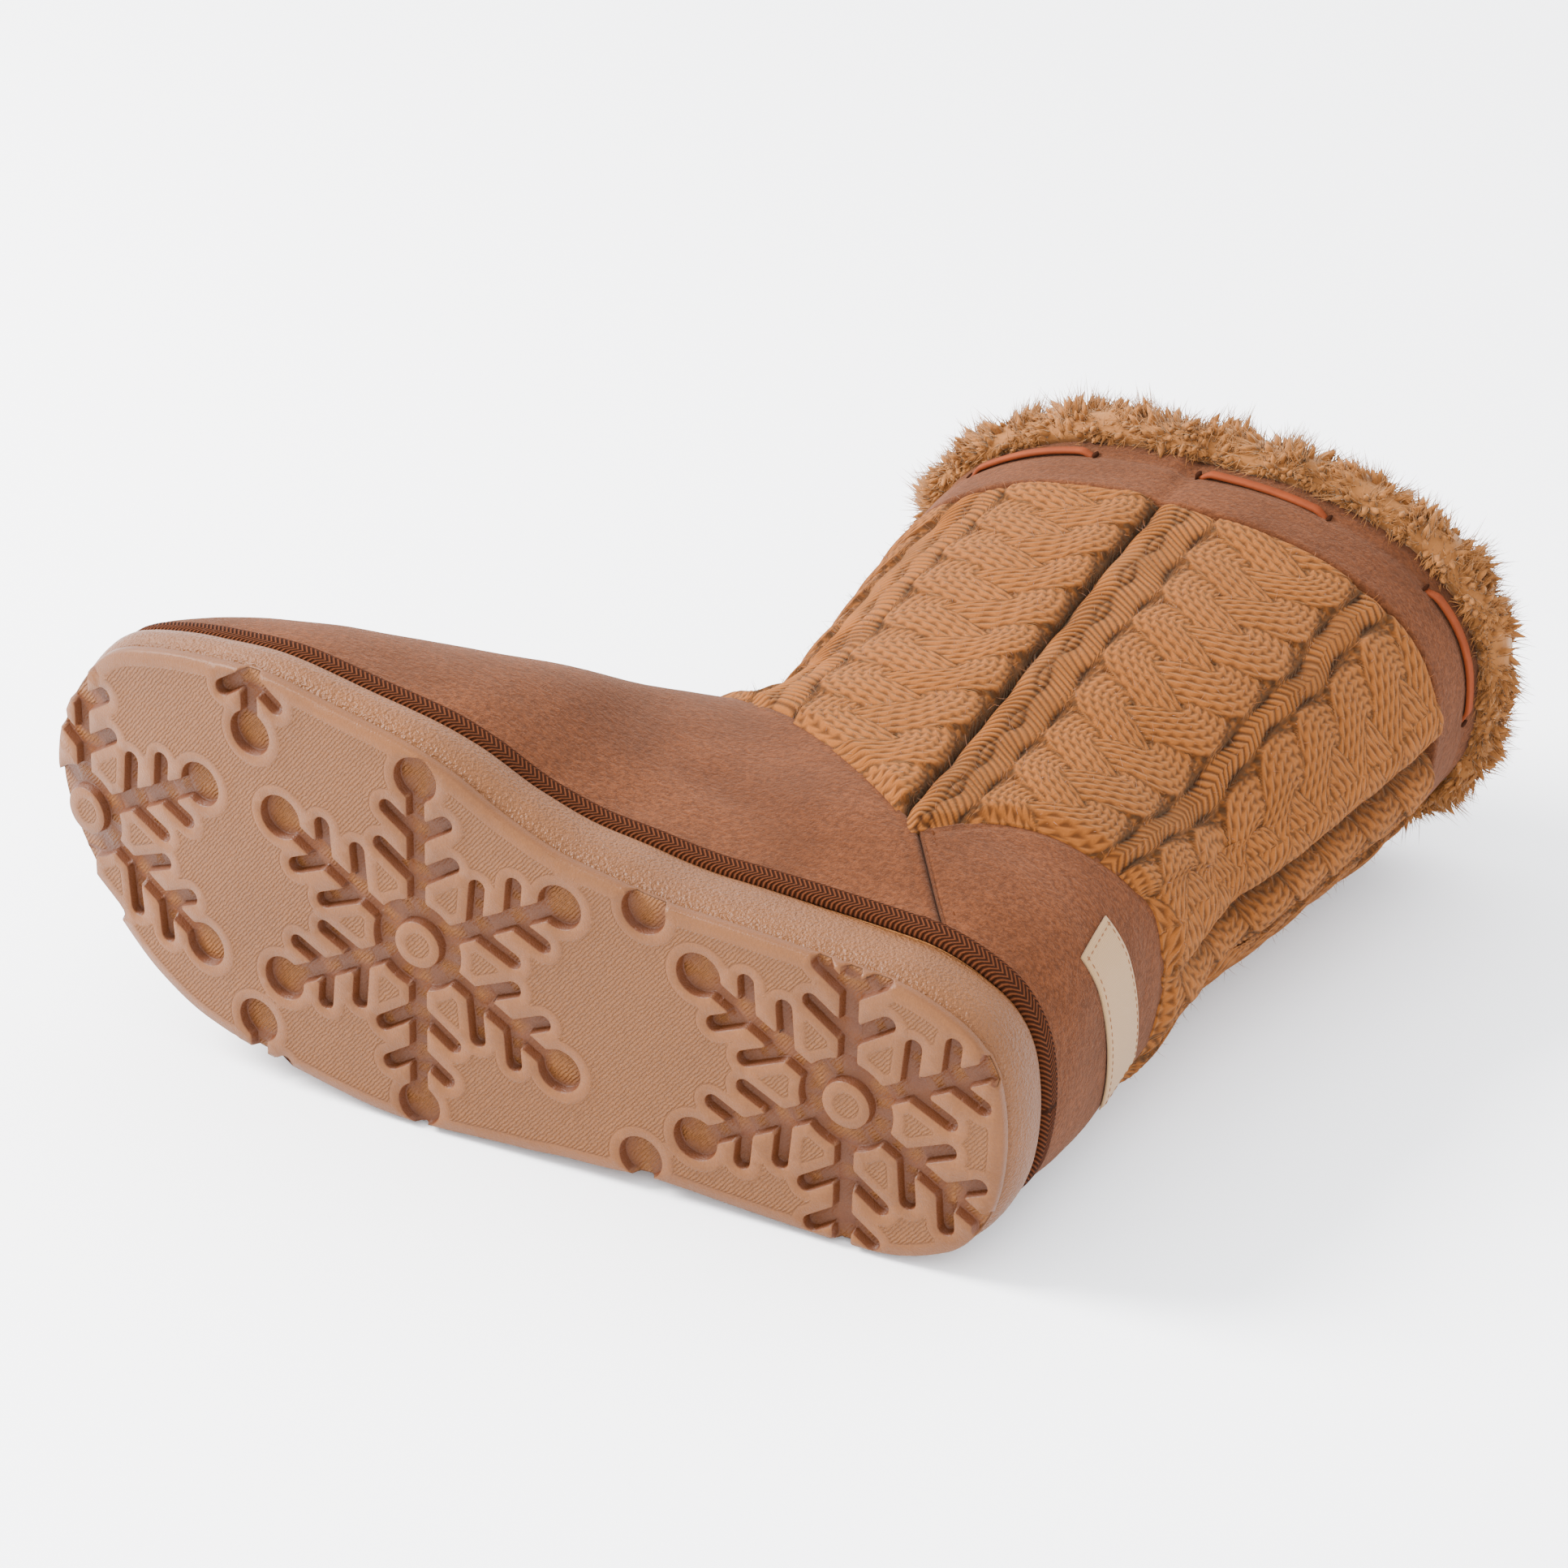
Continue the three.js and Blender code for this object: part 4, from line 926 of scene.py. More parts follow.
def build_outsole(sizes, material):
    """The moulded sole: its tread with the recesses, its rounded edge, its wall and its top."""
    verts, edges, count = tread_lines(sizes)
    made = delaunay_2d_cdt([Vector(v) for v in verts], edges, [], 0, 1e-5)
    flat = np.array([tuple(v) for v in made[0]])
    faces = np.array([f for f in made[2] if len(f) == 3])
    centre = flat[faces].mean(1)
    faces = faces[inside_outline(centre[:, 0], centre[:, 1], -0.05, -0.05)][:, ::-1]
    x, y = flat[:, 0], flat[:, 1]
    recess = recess_distance(x, y)
    rim = rim_distance(x, y, even_loop(outline_loop(OUTLINE_SAMPLES), sizes.rim_steps))
    field_share = smooth(-0.2, 0.2, field_distance(recess, rim))
    # The share of the recess floors that takes painted light.
    floor_light_share = smooth(0.35, 0.6, -recess)
    deep = FLAKE_DEPTH * FLAKE_RELIEF
    drop = np.interp(recess, [-0.4, -0.15, 0.1, 0.3], [deep, deep * 0.9, 0.25, 0])
    edge_round = 0.5 * (1 - smooth(0, 0.9, rim))
    z = tread_height(y) + np.maximum(drop, edge_round) + FIELD_STEP * field_share
    # Painted shade on the recess walls, strongest on their steep part.
    steep = smooth(-0.6, -0.3, recess) * (1 - smooth(0.05, 0.3, recess))
    points = [np.stack([x, y, z], -1)]
    uvs = [np.stack([x, y], -1)]
    marks = {"field": [field_share], "floor": [floor_light_share], "wall": [np.zeros(len(x))],
             "steep": [steep * 0.9]}
    # The outline's own points come first in the triangulation, and the wall grows from them.
    ring = np.array([made[3].index(next(entry for entry in made[3] if i in entry))
                     for i in range(count)])
    base, low = flat[ring], z[ring]
    along = unit(np.roll(base, -1, 0) - np.roll(base, 1, 0))
    outward = np.stack([-along[:, 1], along[:, 0]], -1)
    arc = lengths_along(base)
    for wall, rows in ((False, BAND_ROWS), (True, WALL_ROWS)):
        for out, share in rows:
            spot = base + outward * out
            ground = tread_height(spot[:, 1])
            band = ground + TREAD_BAND
            rest = sole_thickness(spot[:, 1]) - TREAD_BAND
            height = band + rest * share if wall else lerp(low, band, share)
            points.append(np.column_stack([spot, height]))
            uvs.append(np.column_stack([arc, height - ground]))
            # The tread band's rows take a light painted shade; the wall's rows take none.
            row_marks = {"wall": float(wall), "steep": 0.0 if wall else 0.15}
            for key, values in marks.items():
                values.append(np.full(count, row_marks.get(key, 0.0)))
    starts = len(flat) + np.arange(len(BAND_ROWS) + len(WALL_ROWS)) * count
    rings = [ring] + [start + np.arange(count) for start in starts]
    sides = [np.stack([b, np.roll(b, -1), np.roll(a, -1), a], -1)
             for a, b in zip(rings[:-1], rings[1:])]
    points = np.concatenate(points)
    # The top is closed by strips across, from the inner to the outer side.
    left = np.roll(rings[-1], -int(np.argmin(points[rings[-1]][:, 1])))
    right = np.roll(left[::-1], 1)
    half = count // 2
    cap = [[right[i], right[i + 1], left[i + 1], left[i]] for i in range(1, half - 1)]
    ends = [[right[1], left[1], left[0]], [right[half - 1], left[half], left[half - 1]]]
    make_piece("sole", points, [faces] + sides + [cap, ends], material, "sole_rubber", ["outsole"],
               np.concatenate(uvs), {key: np.concatenate(value) for key, value in marks.items()})


# Suede panels

# A panel's lower line on the tape and its back, and the sewn groove near its top edge
PANEL_FOOT = TAPE_HEIGHT * 0.6
PANEL_BACK = GAP * 0.5
PANEL_STEP = 10
SEAM_SAMPLES = 24
EDGE_SAMPLES = {"vamp": 60, "counter": 90}
RING_SAMPLES = {"vamp": 900, "counter": 600}
SEAM_INSET = 3.2
SEAM_SPREAD = 0.9
SEAM_GROOVE = 0.35


def side_point(row):
    y = row[0] * SOLE_LENGTH
    return y, float(feather_height(max(0.0, y)) + row[1] * UPPER_HEIGHT)


def edge_line(rows, side, count):
    """Turns and heights along a line drawn in the side view, closely spaced."""
    points = np.array([side_point(row) for row in rows])
    arcs = lengths_along(points)
    wanted = np.linspace(0, arcs[-1], count)
    if len(points) > 3:
        bent = [(a, *point) for a, point in zip(arcs, points)]
        ys, zs = curve(bent, 1)(wanted), curve(bent, 2)(wanted)
    else:
        ys, zs = (np.interp(wanted, arcs, points[:, k]) for k in (0, 1))
    heights = zs - feather_height(np.maximum(0, ys))
    turns = np.array([turn_at(y, h, side) for y, h in zip(ys, heights)])
    return turns, heights


def spread_line(turns, heights, wanted):
    """Turns and heights at shares of the length of a line over the surface."""
    arcs = lengths_along(surface(turns, heights))
    return [np.interp(wanted * arcs[-1], arcs, values) for values in (turns, heights)]


def suede_grid(ring, turns, heights, columns, rows):
    """A panel's grid, from the tape at a ring of turns up to a top line."""
    wanted = np.linspace(0, 1, columns)
    low = spread_line(ring, np.full(len(ring), PANEL_FOOT), wanted)
    top = spread_line(turns, heights, wanted)
    share = np.linspace(0, 1, rows)[:, None]
    return [lerp(a[None], b[None], share) for a, b in zip(low, top)]


def edge_marks(turns, heights):
    """Distances in millimetres from a panel's foot, top edge and first column."""
    points = surface(turns, heights)
    down = np.linalg.norm(np.diff(points, axis=0), axis=-1)
    climb = np.concatenate([np.zeros((1, points.shape[1])), np.cumsum(down, 0)])
    across = np.linalg.norm(np.diff(points, axis=1), axis=-1)
    run = np.concatenate([np.zeros((points.shape[0], 1)), np.cumsum(across, 1)], 1)
    return climb, climb[-1:] - climb, run


def soft_noise(points, scale, seed):
    """A smooth field of the place, from a few fixed waves."""
    rng = np.random.default_rng(seed)
    total = np.zeros(points.shape[:-1])
    for _ in range(9):
        direction = unit(rng.normal(size=3)) * rng.uniform(0.6, 1.6) * 2 * np.pi / scale
        total += np.sin(points @ direction + rng.uniform(0, 6.28))
    return total / 4.5


def suede_outer(relief, climb, left, thickness, firm):
    """Outer distance of a suede panel: a rolled top edge, soft relief and the sewn groove."""
    edge = np.minimum(1, left / 1.6)
    rolled = thickness * np.sqrt(np.clip(1 - (1 - edge) ** 2, 0.05, 1))
    groove = SEAM_GROOVE * np.exp(-((left - SEAM_INSET) / SEAM_SPREAD) ** 2)
    body = smooth(0, 14, climb) * smooth(0, firm, left)
    return np.maximum(GAP + 0.25, GAP + rolled + relief * body - groove), body


# Hollows of the vamp, which are also darkened with painted shade: turn, height, length, width and depth
VAMP_TROUGHS = [
    (-0.20, 32, 30, 7.0, 1.1), (-0.24, 22, 24, 6.0, 0.7), (-0.30, 52, 36, 9.0, 0.9),
    (-0.36, 70, 30, 7.0, 0.8), (0.22, 30, 28, 7.0, 0.8), (0.30, 52, 34, 9.0, 0.8),
]


def trough_depth(points, troughs):
    """Soft hollows, each placed by a turn and height, with its length, width and depth."""
    total = np.zeros(points.shape[:-1])
    for turn, height, length, width, depth in troughs:
        centre = surface(turn, height)
        ahead = unit(surface(turn + 0.02, height + 6) - centre)
        away = points - centre
        along = away @ ahead
        off = np.sqrt(np.maximum(0, np.sum(away * away, -1) - along * along))
        total += depth * np.exp(-(along / length) ** 2 * 2 - (off / width) ** 2)
    return total


def build_vamp(material, columns=341, rows=70):
    """The suede over the toes and the instep; gives back its top line for the stitches."""
    seam = edge_line([SEAM_FOOT, SEAM_TOP], -1, SEAM_SAMPLES)
    edge = edge_line([SEAM_TOP] + VAMP_EDGE, -1, EDGE_SAMPLES["vamp"])
    last_turn, last = edge[0][-1], edge[1][-1]
    bridge_turn = np.linspace(last_turn, 0.5, 14)[1:]
    bridge_height = np.interp(bridge_turn, [last_turn, 0.5], [last, last - 0.8])
    turns = np.concatenate([seam[0], edge[0][1:], bridge_turn])
    heights = np.concatenate([seam[1], edge[1][1:], bridge_height])
    turns = np.concatenate([turns, 1 - turns[:-1][::-1]])
    heights = np.concatenate([heights, heights[:-1][::-1]])
    start = float(np.interp(PANEL_FOOT, seam[1], seam[0]))
    keep = (heights > PANEL_FOOT) | (np.abs(turns - 0.5) < abs(start - 0.5) - 0.01)
    ring = np.linspace(start, 1 - start, RING_SAMPLES["vamp"])
    turns, heights = suede_grid(ring, turns[keep], heights[keep], columns, rows)
    climb, left, run = edge_marks(turns, heights)
    places = surface(turns, heights)
    crease = trough_depth(places, VAMP_TROUGHS)
    swell = 0.35 * soft_noise(places, 60, 3) + 0.12 * soft_noise(places, 22, 4)
    outer, body = suede_outer(swell - crease, climb, left, SUEDE_THICKNESS + 0.5, 10)
    # The hollows are also darkened with painted shade, by the crease mark.
    shell_piece("vamp_suede", turns, heights, outer, PANEL_BACK, material,
                np.stack([run, climb], -1), slot="suede", replaces=["vamp"],
                marks={"edge": left, "crease": np.clip(crease * body / 1.2, 0, 1)},
                inside_step=PANEL_STEP)
    return turns[-1], heights[-1]


def build_counter(material, columns=150, rows=56):
    """The suede round the heel."""
    seam = edge_line([SEAM_FOOT, SEAM_TOP], -1, SEAM_SAMPLES)
    edge = edge_line([SEAM_TOP] + COUNTER_EDGE, -1, EDGE_SAMPLES["counter"])
    turns = np.concatenate([seam[0], edge[0][1:]])
    heights = np.concatenate([seam[1], edge[1][1:]])
    keep = heights > PANEL_FOOT
    turns, heights = turns[keep], heights[keep]
    turns = np.concatenate([turns, [0.0], -turns[::-1]])
    heights = np.concatenate([heights, heights[-1:], heights[::-1]])
    start = float(np.interp(PANEL_FOOT, seam[1], seam[0]))
    ring = np.linspace(start, -start, RING_SAMPLES["counter"])
    turns, heights = suede_grid(ring, turns, heights, columns, rows)
    climb, left, run = edge_marks(turns, heights)
    places = surface(turns, heights)
    swell = 0.3 * soft_noise(places, 45, 8) + 0.1 * soft_noise(places, 18, 9)
    outer, _ = suede_outer(swell, climb, left, SUEDE_THICKNESS + 0.45, 8)
    # Turned to run the other way, so that the outside faces outwards.
    turns, heights, outer, left = (grid[:, ::-1] for grid in (turns, heights, outer, left))
    shell_piece("counter_suede", turns, heights, outer, PANEL_BACK, material,
                np.stack([run, climb], -1)[:, ::-1], slot="suede", replaces=["counter"],
                marks={"edge": left, "crease": np.zeros_like(left)}, inside_step=PANEL_STEP)


# Knitted shaft: cables and rib pairs, placed in millimetres round the shaft from its inner seam

SEAM_TURNS = (0.257, 0.743)
KNIT_RING = 150.0
CABLE_PLACES = [-87, -34, 19, 71, 124, 177, 231, 283]
CABLE_HALF = 19.0
STRAND_SWING = 11.8
STRAND_HALF = 6.6
STRAND_PERIOD = 54.0
YARN_PITCH = 2.1
RIB_HALF = 3.5
RUNG_PITCH = 2.4
RUNG_SLANT = 0.3
FUZZ_SEED = 11
FIBRE_RADIUS = 0.07
KNIT_STEP = 12
# How far the knit runs in under the cuff and under the suede
KNIT_TUCK = 1.5
KNIT_HEM = 3.0
NO_STRAND = -9.0
# The deep fold at the back: its place from the middle, its width and the heights where it opens
FOLD_PLACE = -1.5
FOLD_HALF = 3.0
FOLD_START = 58
FOLD_FULL = 92


def plait(s, t):
    """Height, place across the yarn and border of three strands that pass over each other."""
    best = np.full(np.shape(s), NO_STRAND)
    across = np.zeros(np.shape(s))
    border = np.zeros(np.shape(s))
    for k in range(3):
        phase = 2 * np.pi * (t / STRAND_PERIOD + k / 3)
        slope = STRAND_SWING * 2 * np.pi / STRAND_PERIOD * np.cos(phase)
        away = (s - STRAND_SWING * np.sin(phase)) / np.sqrt(1 + slope ** 2)
        half = STRAND_HALF * (1 + 0.1 * np.sin(2 * phase))
        crown = np.sqrt(np.clip(1 - (away / half) ** 2, 0, 1))
        level = np.where(np.abs(away) < half, 0.6 * crown + 0.42 * np.sin(2 * phase), NO_STRAND)
        across = np.where(level > best, away, across)
        border = np.where(level > best, half - np.abs(away), border)
        best = np.maximum(best, level)
    found = best > NO_STRAND
    ground = 0.22 + 0.12 * np.cos(2 * np.pi * s / YARN_PITCH)
    return np.where(found, 0.5 + 0.42 * best, ground), np.where(found, across, s), border, found


def knit_relief(s, t, cables):
    """Relief, painted lightness, place across the yarn and share of ribs at places on the shaft."""
    gap = np.abs(s[..., None] - cables)
    nearest = cables[np.argmin(gap, -1)]
    near = np.min(gap, -1)
    height, across, border, found = plait(s - nearest, t + nearest * 1.7)
    yarn = np.abs(np.cos(np.pi * across / YARN_PITCH)) ** 0.7
    cable = height + 0.12 * yarn
    # Painted shade at a strand's borders, where it passes under the next.
    rim = np.where(found, smooth(-0.5, 1.2, border), 0.9)
    cable_light = np.clip(0.3 + 0.25 * yarn + 0.55 * height, 0, 1) * rim
    # Two ribs run side by side between the cables and waver with them.
    middle = nearest + np.where(s > nearest, 1, -1) * (CABLE_HALF + 2 * RIB_HALF)
    aside = s - middle + 0.9 * np.sin(2 * np.pi * t / 18 + nearest)
    inside = np.abs(aside) - RIB_HALF
    rib = np.sqrt(np.clip(1 - (inside / RIB_HALF) ** 2, 0, 1))
    rung = 0.5 + 0.5 * np.cos(2 * np.pi * (t / RUNG_PITCH + RUNG_SLANT * inside))
    ladder = 0.4 * rib + 0.16 * rung * rib
    ladder_light = np.clip(1.15 * rib ** 0.8 - 0.45 + 0.5 * rung, 0, 1)
    share = smooth(CABLE_HALF - 1.2, CABLE_HALF + 0.4, near)
    return (lerp(cable, ladder, share), lerp(cable_light, ladder_light, share),
            lerp(across, inside, share), share)


def panel_foot(side):
    """Places along the boot and heights of the suede's top edge, from the back to the front."""
    counter = edge_line([SEAM_TOP] + COUNTER_EDGE, side, 120)
    vamp = edge_line([SEAM_TOP] + VAMP_EDGE, side, 160)
    heights = np.concatenate([counter[1][::-1], vamp[1][1:]])
    turns = np.concatenate([counter[0][::-1], vamp[0][1:]])
    places = surface(turns, heights)[:, 1]
    order = np.argsort(places, kind="stable")
    return places[order], heights[order]


def knit_grid(arcs, total, rows, top):
    """Turns and heights of columns that run straight down from the ring to the suede's edge."""
    turns_round, arcs_round = ring_arc(KNIT_RING)
    ring_turn = np.interp(arcs % total, arcs_round, turns_round)
    along = (1 - np.cos(ring_turn * 2 * np.pi)) / 2
    inner = ring_turn < 0.5
    seam_along = (1 - math.cos(SEAM_TURNS[0] * 2 * math.pi)) / 2
    low_y, low = np.zeros(len(arcs)), np.zeros(len(arcs))
    for side, pick in ((-1, inner), (1, ~inner)):
        places, heights = panel_foot(side)
        seam_y = SEAM_TOP[0] * SOLE_LENGTH + 4
        low_y[pick] = np.interp(along[pick], [0, seam_along, 1], [places[0], seam_y, places[-1]])
        low[pick] = np.interp(low_y[pick], places, heights)
    low = low - KNIT_HEM
    share = np.linspace(0, 1, rows)[:, None]
    heights = lerp(low[None], top, share)
    top_y = lerp(back_line(top), front_line(top), along)
    straight = lerp(low_y[None], top_y[None], share)
    back, front = back_line(heights), front_line(heights)
    fraction = np.clip((straight - back) / (front - back), 0, 1)
    firm = smooth(0, 0.06, np.minimum(along, 1 - along))
    fraction = lerp(along[None], fraction, firm[None])
    turns = np.arccos(1 - 2 * fraction) / (2 * np.pi)
    return np.where(inner[None], turns, 1 - turns), heights, low


def build_knit(sizes, material):
    """Two knitted panels that meet at the side seams."""
    top = UPPER_HEIGHT - CUFF_HEIGHT + KNIT_TUCK
    turns_round, arcs_round = ring_arc(KNIT_RING)
    total = arcs_round[-1]
    seams = np.interp(SEAM_TURNS, turns_round, arcs_round)
    cables = np.array(CABLE_PLACES) + seams[0]
    cables = np.concatenate([cables, cables - total, cables + total])
    grids = []
    for name, first, last in (("knit_front_wool", seams[0], seams[1]),
                              ("knit_back_wool", seams[1] - total, seams[0])):
        arc = np.linspace(first, last, sizes.knit_columns)
        turns, heights, low = knit_grid(arc, total, sizes.knit_rows, top)
        s = np.broadcast_to(arc[None], heights.shape)
        places = surface(turns, heights)
        waver = 1.1 * soft_noise(places, 34, 23)
        relief, light, across, ribs = knit_relief(s + waver, heights + waver, cables)
        swell = 0.7 * soft_noise(places, 70, 21) + 0.3 * soft_noise(places, 26, 22)
        swell = swell * smooth(0, 20, top - heights)
        thick = 2.0 + 2.3 * relief + swell
        edge = np.minimum(s - first, last - s)
        thick = thick + 1.3 * np.exp(-((edge - 6) / 4) ** 2)
        turned = np.sqrt(np.clip(1 - (1 - np.minimum(1, edge / 2.6)) ** 2, 0, 1))
        thick = thick * (0.12 + 0.88 * turned)
        # Painted shade towards the side seams.
        light = light * (0.15 + 0.85 * smooth(0, 2.2, edge))
        if first < 0:
            fold = smooth(FOLD_START, FOLD_FULL, heights)
            aside = np.abs(s - FOLD_PLACE)
            deep = np.exp(-(aside / FOLD_HALF) ** 2) * fold
            thick = thick * (1 - 0.9 * deep) + 2.2 * np.exp(-((aside - 8) / 5) ** 2) * fold
            # Painted shade in the deep fold at the back.
            light = light * (1 - 0.85 * deep)
        tuck = smooth(0, 5, heights - low[None]) * smooth(-1, 4, top - heights)
        outer = np.maximum(GAP + 0.15, GAP + 0.5 + thick * (0.35 + 0.65 * tuck))
        # The depth mark carries the painted light and shade.
        shell_piece(name, turns, heights, outer, PANEL_BACK, material,
                    np.stack([s, heights], -1), slot="knit", replaces=["knit_shaft"],
                    marks={"depth": light, "across": across, "ribs": ribs}, inside_step=KNIT_STEP)
        grids.append((turns, heights, outer))
    return grids


def wisps(name, roots, directions, bends, lengths, radius, material, slot, segments=2, sides=3,
          shade_low=0.2, taper=1.5):
    """Tapering hairs from roots along directions, which curve over by the bends; their tip mark holds a
    painted shade that is darkest at the root, by shade_low, and gone at the tip.
    """
    count = len(roots)
    axis = unit(directions)
    side = unit(np.cross(axis, np.where(np.abs(axis[:, 2:]) > 0.9, [[1, 0, 0]], [[0, 0, 1]])))
    other = np.cross(axis, side)
    points, hair_shade = [], []
    for level in range(segments):
        t = level / segments
        middle = roots + axis * (lengths * t)[:, None] + bends * (t * t)
        wide = radius * (1 - t ** taper)
        for k in range(sides):
            angle = 2 * np.pi * k / sides
            points.append(middle + (side * math.cos(angle) + other * math.sin(angle)) * wide)
            hair_shade.append(np.full(count, shade_low + (1 - shade_low) * t))
    points.append(roots + axis * lengths[:, None] + bends)
    hair_shade.append(np.ones(count))
    base = np.arange(count)[:, None] * (segments * sides + 1)
    quads, caps = [], []
    for low in range(0, segments * sides, sides):
        for k in range(sides):
            foot, after = low + k, low + (k + 1) % sides
            if low + sides < segments * sides:
                quads.append(base + [foot, after, after + sides, foot + sides])
            else:
                caps.append(base + [foot, after, segments * sides])
    caps.append(base + [2, 1, 0])
    make_piece(name, above_floor(np.stack(points, 1).reshape(-1, 3)), quads + caps, material, slot,
               marks={"tip": np.stack(hair_shade, 1).ravel()})


def build_knit_fuzz(name, grid, material, fuzz):
    """Loose fibres that stand off a knitted panel."""
    turns, heights, outer = grid
    rng = np.random.default_rng(FUZZ_SEED)
    rows, columns = heights.shape
    i = rng.integers(4, rows - 3, fuzz.fibres // 2)
    j = rng.integers(0, columns, len(i))
    turn, height = turns[i, j], heights[i, j]
    roots = offset(turn, height, outer[i, j] - 0.2)
    stand = normals(turn, height) * rng.uniform(0.15, 0.9, (len(i), 1))
    directions = unit(stand + rng.normal(size=(len(i), 3)) * 0.7)
    lengths = rng.uniform(1.2, 3.6, len(i))
    bends = rng.normal(size=(len(i), 3)) * 0.8
    wisps(name, roots, directions, bends, lengths, FIBRE_RADIUS, material, "knit", shade_low=0.7)


# Collar

FUR_COLUMNS = 200
# Spread of the hairs of a lock, in turns and in shares of the collar's section
LOCK_SPREAD = 0.0034
LOCK_SHARE = 0.022
# Points of the collar's section that carry the pile
PILE_POINTS = 9
ROOT_DEPTH = 1.0
LOCK_DEPTH = 1.5
# Lengths round the cuff and the shaft
CUFF_ROUND = 420
SHAFT_ROUND = 400
CUFF_RING = 210.0
CUFF_OVERLAP = 0.6
LINING_STEP = 2
THONG_STEPS = 40
THONG_LIFT = 0.95
THONG_SAG = 0.35
THONG_SECTION = [(-0.5, 0.15), (-0.42, 0), (0.42, 0), (0.5, 0.15),
                 (0.5, 0.85), (0.42, 1), (-0.42, 1), (-0.5, 0.85)]
SLIT_POINTS = 14
SLIT_HALF_WIDTH = 0.55
SLIT_HALF_HEIGHT = 1.7
TAPE_COLUMNS = 520
TAPE_RING = 3.0
TAPE_PROFILE = [(0.0, 0.2), (0.03, 0.7), (0.12, 0.95), (0.3, 1.0), (0.5, 1.02), (0.7, 0.95),
                (0.88, 0.75), (1.0, 0.45), (1.06, 0.1), (1.06, -0.12)]
LABEL_LIFT = 2.65
LABEL_HEM = 1.5


def tube_faces(rows, columns):
    """Faces of a ring of loops whose last loop joins the first."""
    faces = grid_faces(rows, columns, True)
    ring = np.arange(columns)
    last, after = (rows - 1) * columns, (ring + 1) % columns
    lap = np.stack([last + ring, last + after, after, ring], -1)
    return np.concatenate([faces, lap])[:, ::-1]


def collar_point(turn, out, rise):
    """Points by the upper's mouth, by millimetres outwards and up from its edge."""
    turn, out, rise = np.broadcast_arrays(turn, out, rise)
    height = UPPER_HEIGHT + np.minimum(0, rise)
    point = offset(turn, height, out, True)
    point[..., 2] += np.maximum(0, rise)
    return point


def fur_profile():
    """The roll's section, by millimetres outwards and up, from the outer foot to the inner."""
    band = GAP + CUFF_THICKNESS
    inside = -UPPER_WALL - GAP
    return np.array([
        (band + 0.4, -FUR_RISE * 0.3), (band + FUR_SPREAD * 0.75, -FUR_RISE * 0.26),
        (band + FUR_SPREAD * 1.1, FUR_RISE * 0.1), (band + FUR_SPREAD * 0.9, FUR_RISE * 0.6),
        (band * 0.6, FUR_RISE * 0.95), (inside - FUR_LINING * 0.35, FUR_RISE * 0.75),
        (inside - FUR_LINING * 0.85, FUR_RISE * 0.1), (inside - FUR_LINING * 0.8, -FUR_RISE * 0.7),
        (inside - 1.5, -FUR_RISE * 1.0), (inside, -FUR_RISE * 0.6), (inside, GAP), (band + 0.4, GAP),
    ])


def build_fur(fur, material):
    """The roll under the pile, then locks and hairs on its outer and its inner side."""
    profile = fur_profile()
    turns = np.arange(FUR_COLUMNS) / FUR_COLUMNS
    wobble = 0.8 * np.sin(turns * 2 * np.pi * 13) + 0.5 * np.sin(turns * 2 * np.pi * 29 + 1)
    loops = [collar_point(turns, out + (wobble * 0.5 if k in (2, 3, 4) else 0), rise)
             for k, (out, rise) in enumerate(profile)]
    points = np.concatenate(loops)
    # The roll under the pile takes half the painted root shade.
    make_piece("fur_pile_base", points, [tube_faces(len(profile), FUR_COLUMNS)], material, "fur",
               ["collar_fur"], marks={"tip": np.full(len(points), 0.5)})
    rng = np.random.default_rng(fur.seed)
    for part, span, locks, amount in (("fur_outer", (0.0, 0.6), fur.outer_locks, fur.outer_hairs),
                                      ("fur_inner", (0.5, 1.0), fur.inner_locks, fur.inner_hairs)):
        turn, place = rng.uniform(0, 1, locks), rng.uniform(span[0], span[1], locks)
        roots, outward, lean = pile_roots(profile, turn, place)
        swirl = np.array([np.sin(turn * 2 * np.pi * k + p) for k, p in ((23, 0), (17, 2), (31, 4))]).T
        directions = unit(outward + lean + 0.3 * swirl + rng.normal(size=(locks, 3)) * 0.3)
        size = np.interp(place, [0, 0.2, 0.5, 0.8, 1], [0.7, 0.95, 1.0, 0.9, 0.6])
        lengths = fur.hair_length * size * rng.uniform(0.75, 1.05, locks)
        bends = rng.normal(size=(locks, 3)) * 1.2 + 1.2 * swirl
        wisps(part + "_locks", roots - outward * LOCK_DEPTH, directions, bends * 0.7, lengths * 0.72,
              fur.lock_width / 2, material, "fur", segments=3, sides=5, shade_low=0.3, taper=3.0)
        which = rng.integers(0, locks, amount)
        own_turn = turn[which] + rng.normal(size=amount) * LOCK_SPREAD
        own_place = np.clip(place[which] + rng.normal(size=amount) * LOCK_SHARE, *span)
        roots, outward, _ = pile_roots(profile, own_turn, own_place)
        own = unit(directions[which] + rng.normal(size=(amount, 3)) * 0.2)
        own_lengths = lengths[which] * rng.uniform(0.7, 1.1, amount)
        own_bends = bends[which] + rng.normal(size=(amount, 3)) * 0.9
        wisps(part, roots - outward * ROOT_DEPTH, own, own_bends, own_lengths,
              fur.hair_width / 2, material, "fur", shade_low=0.35)


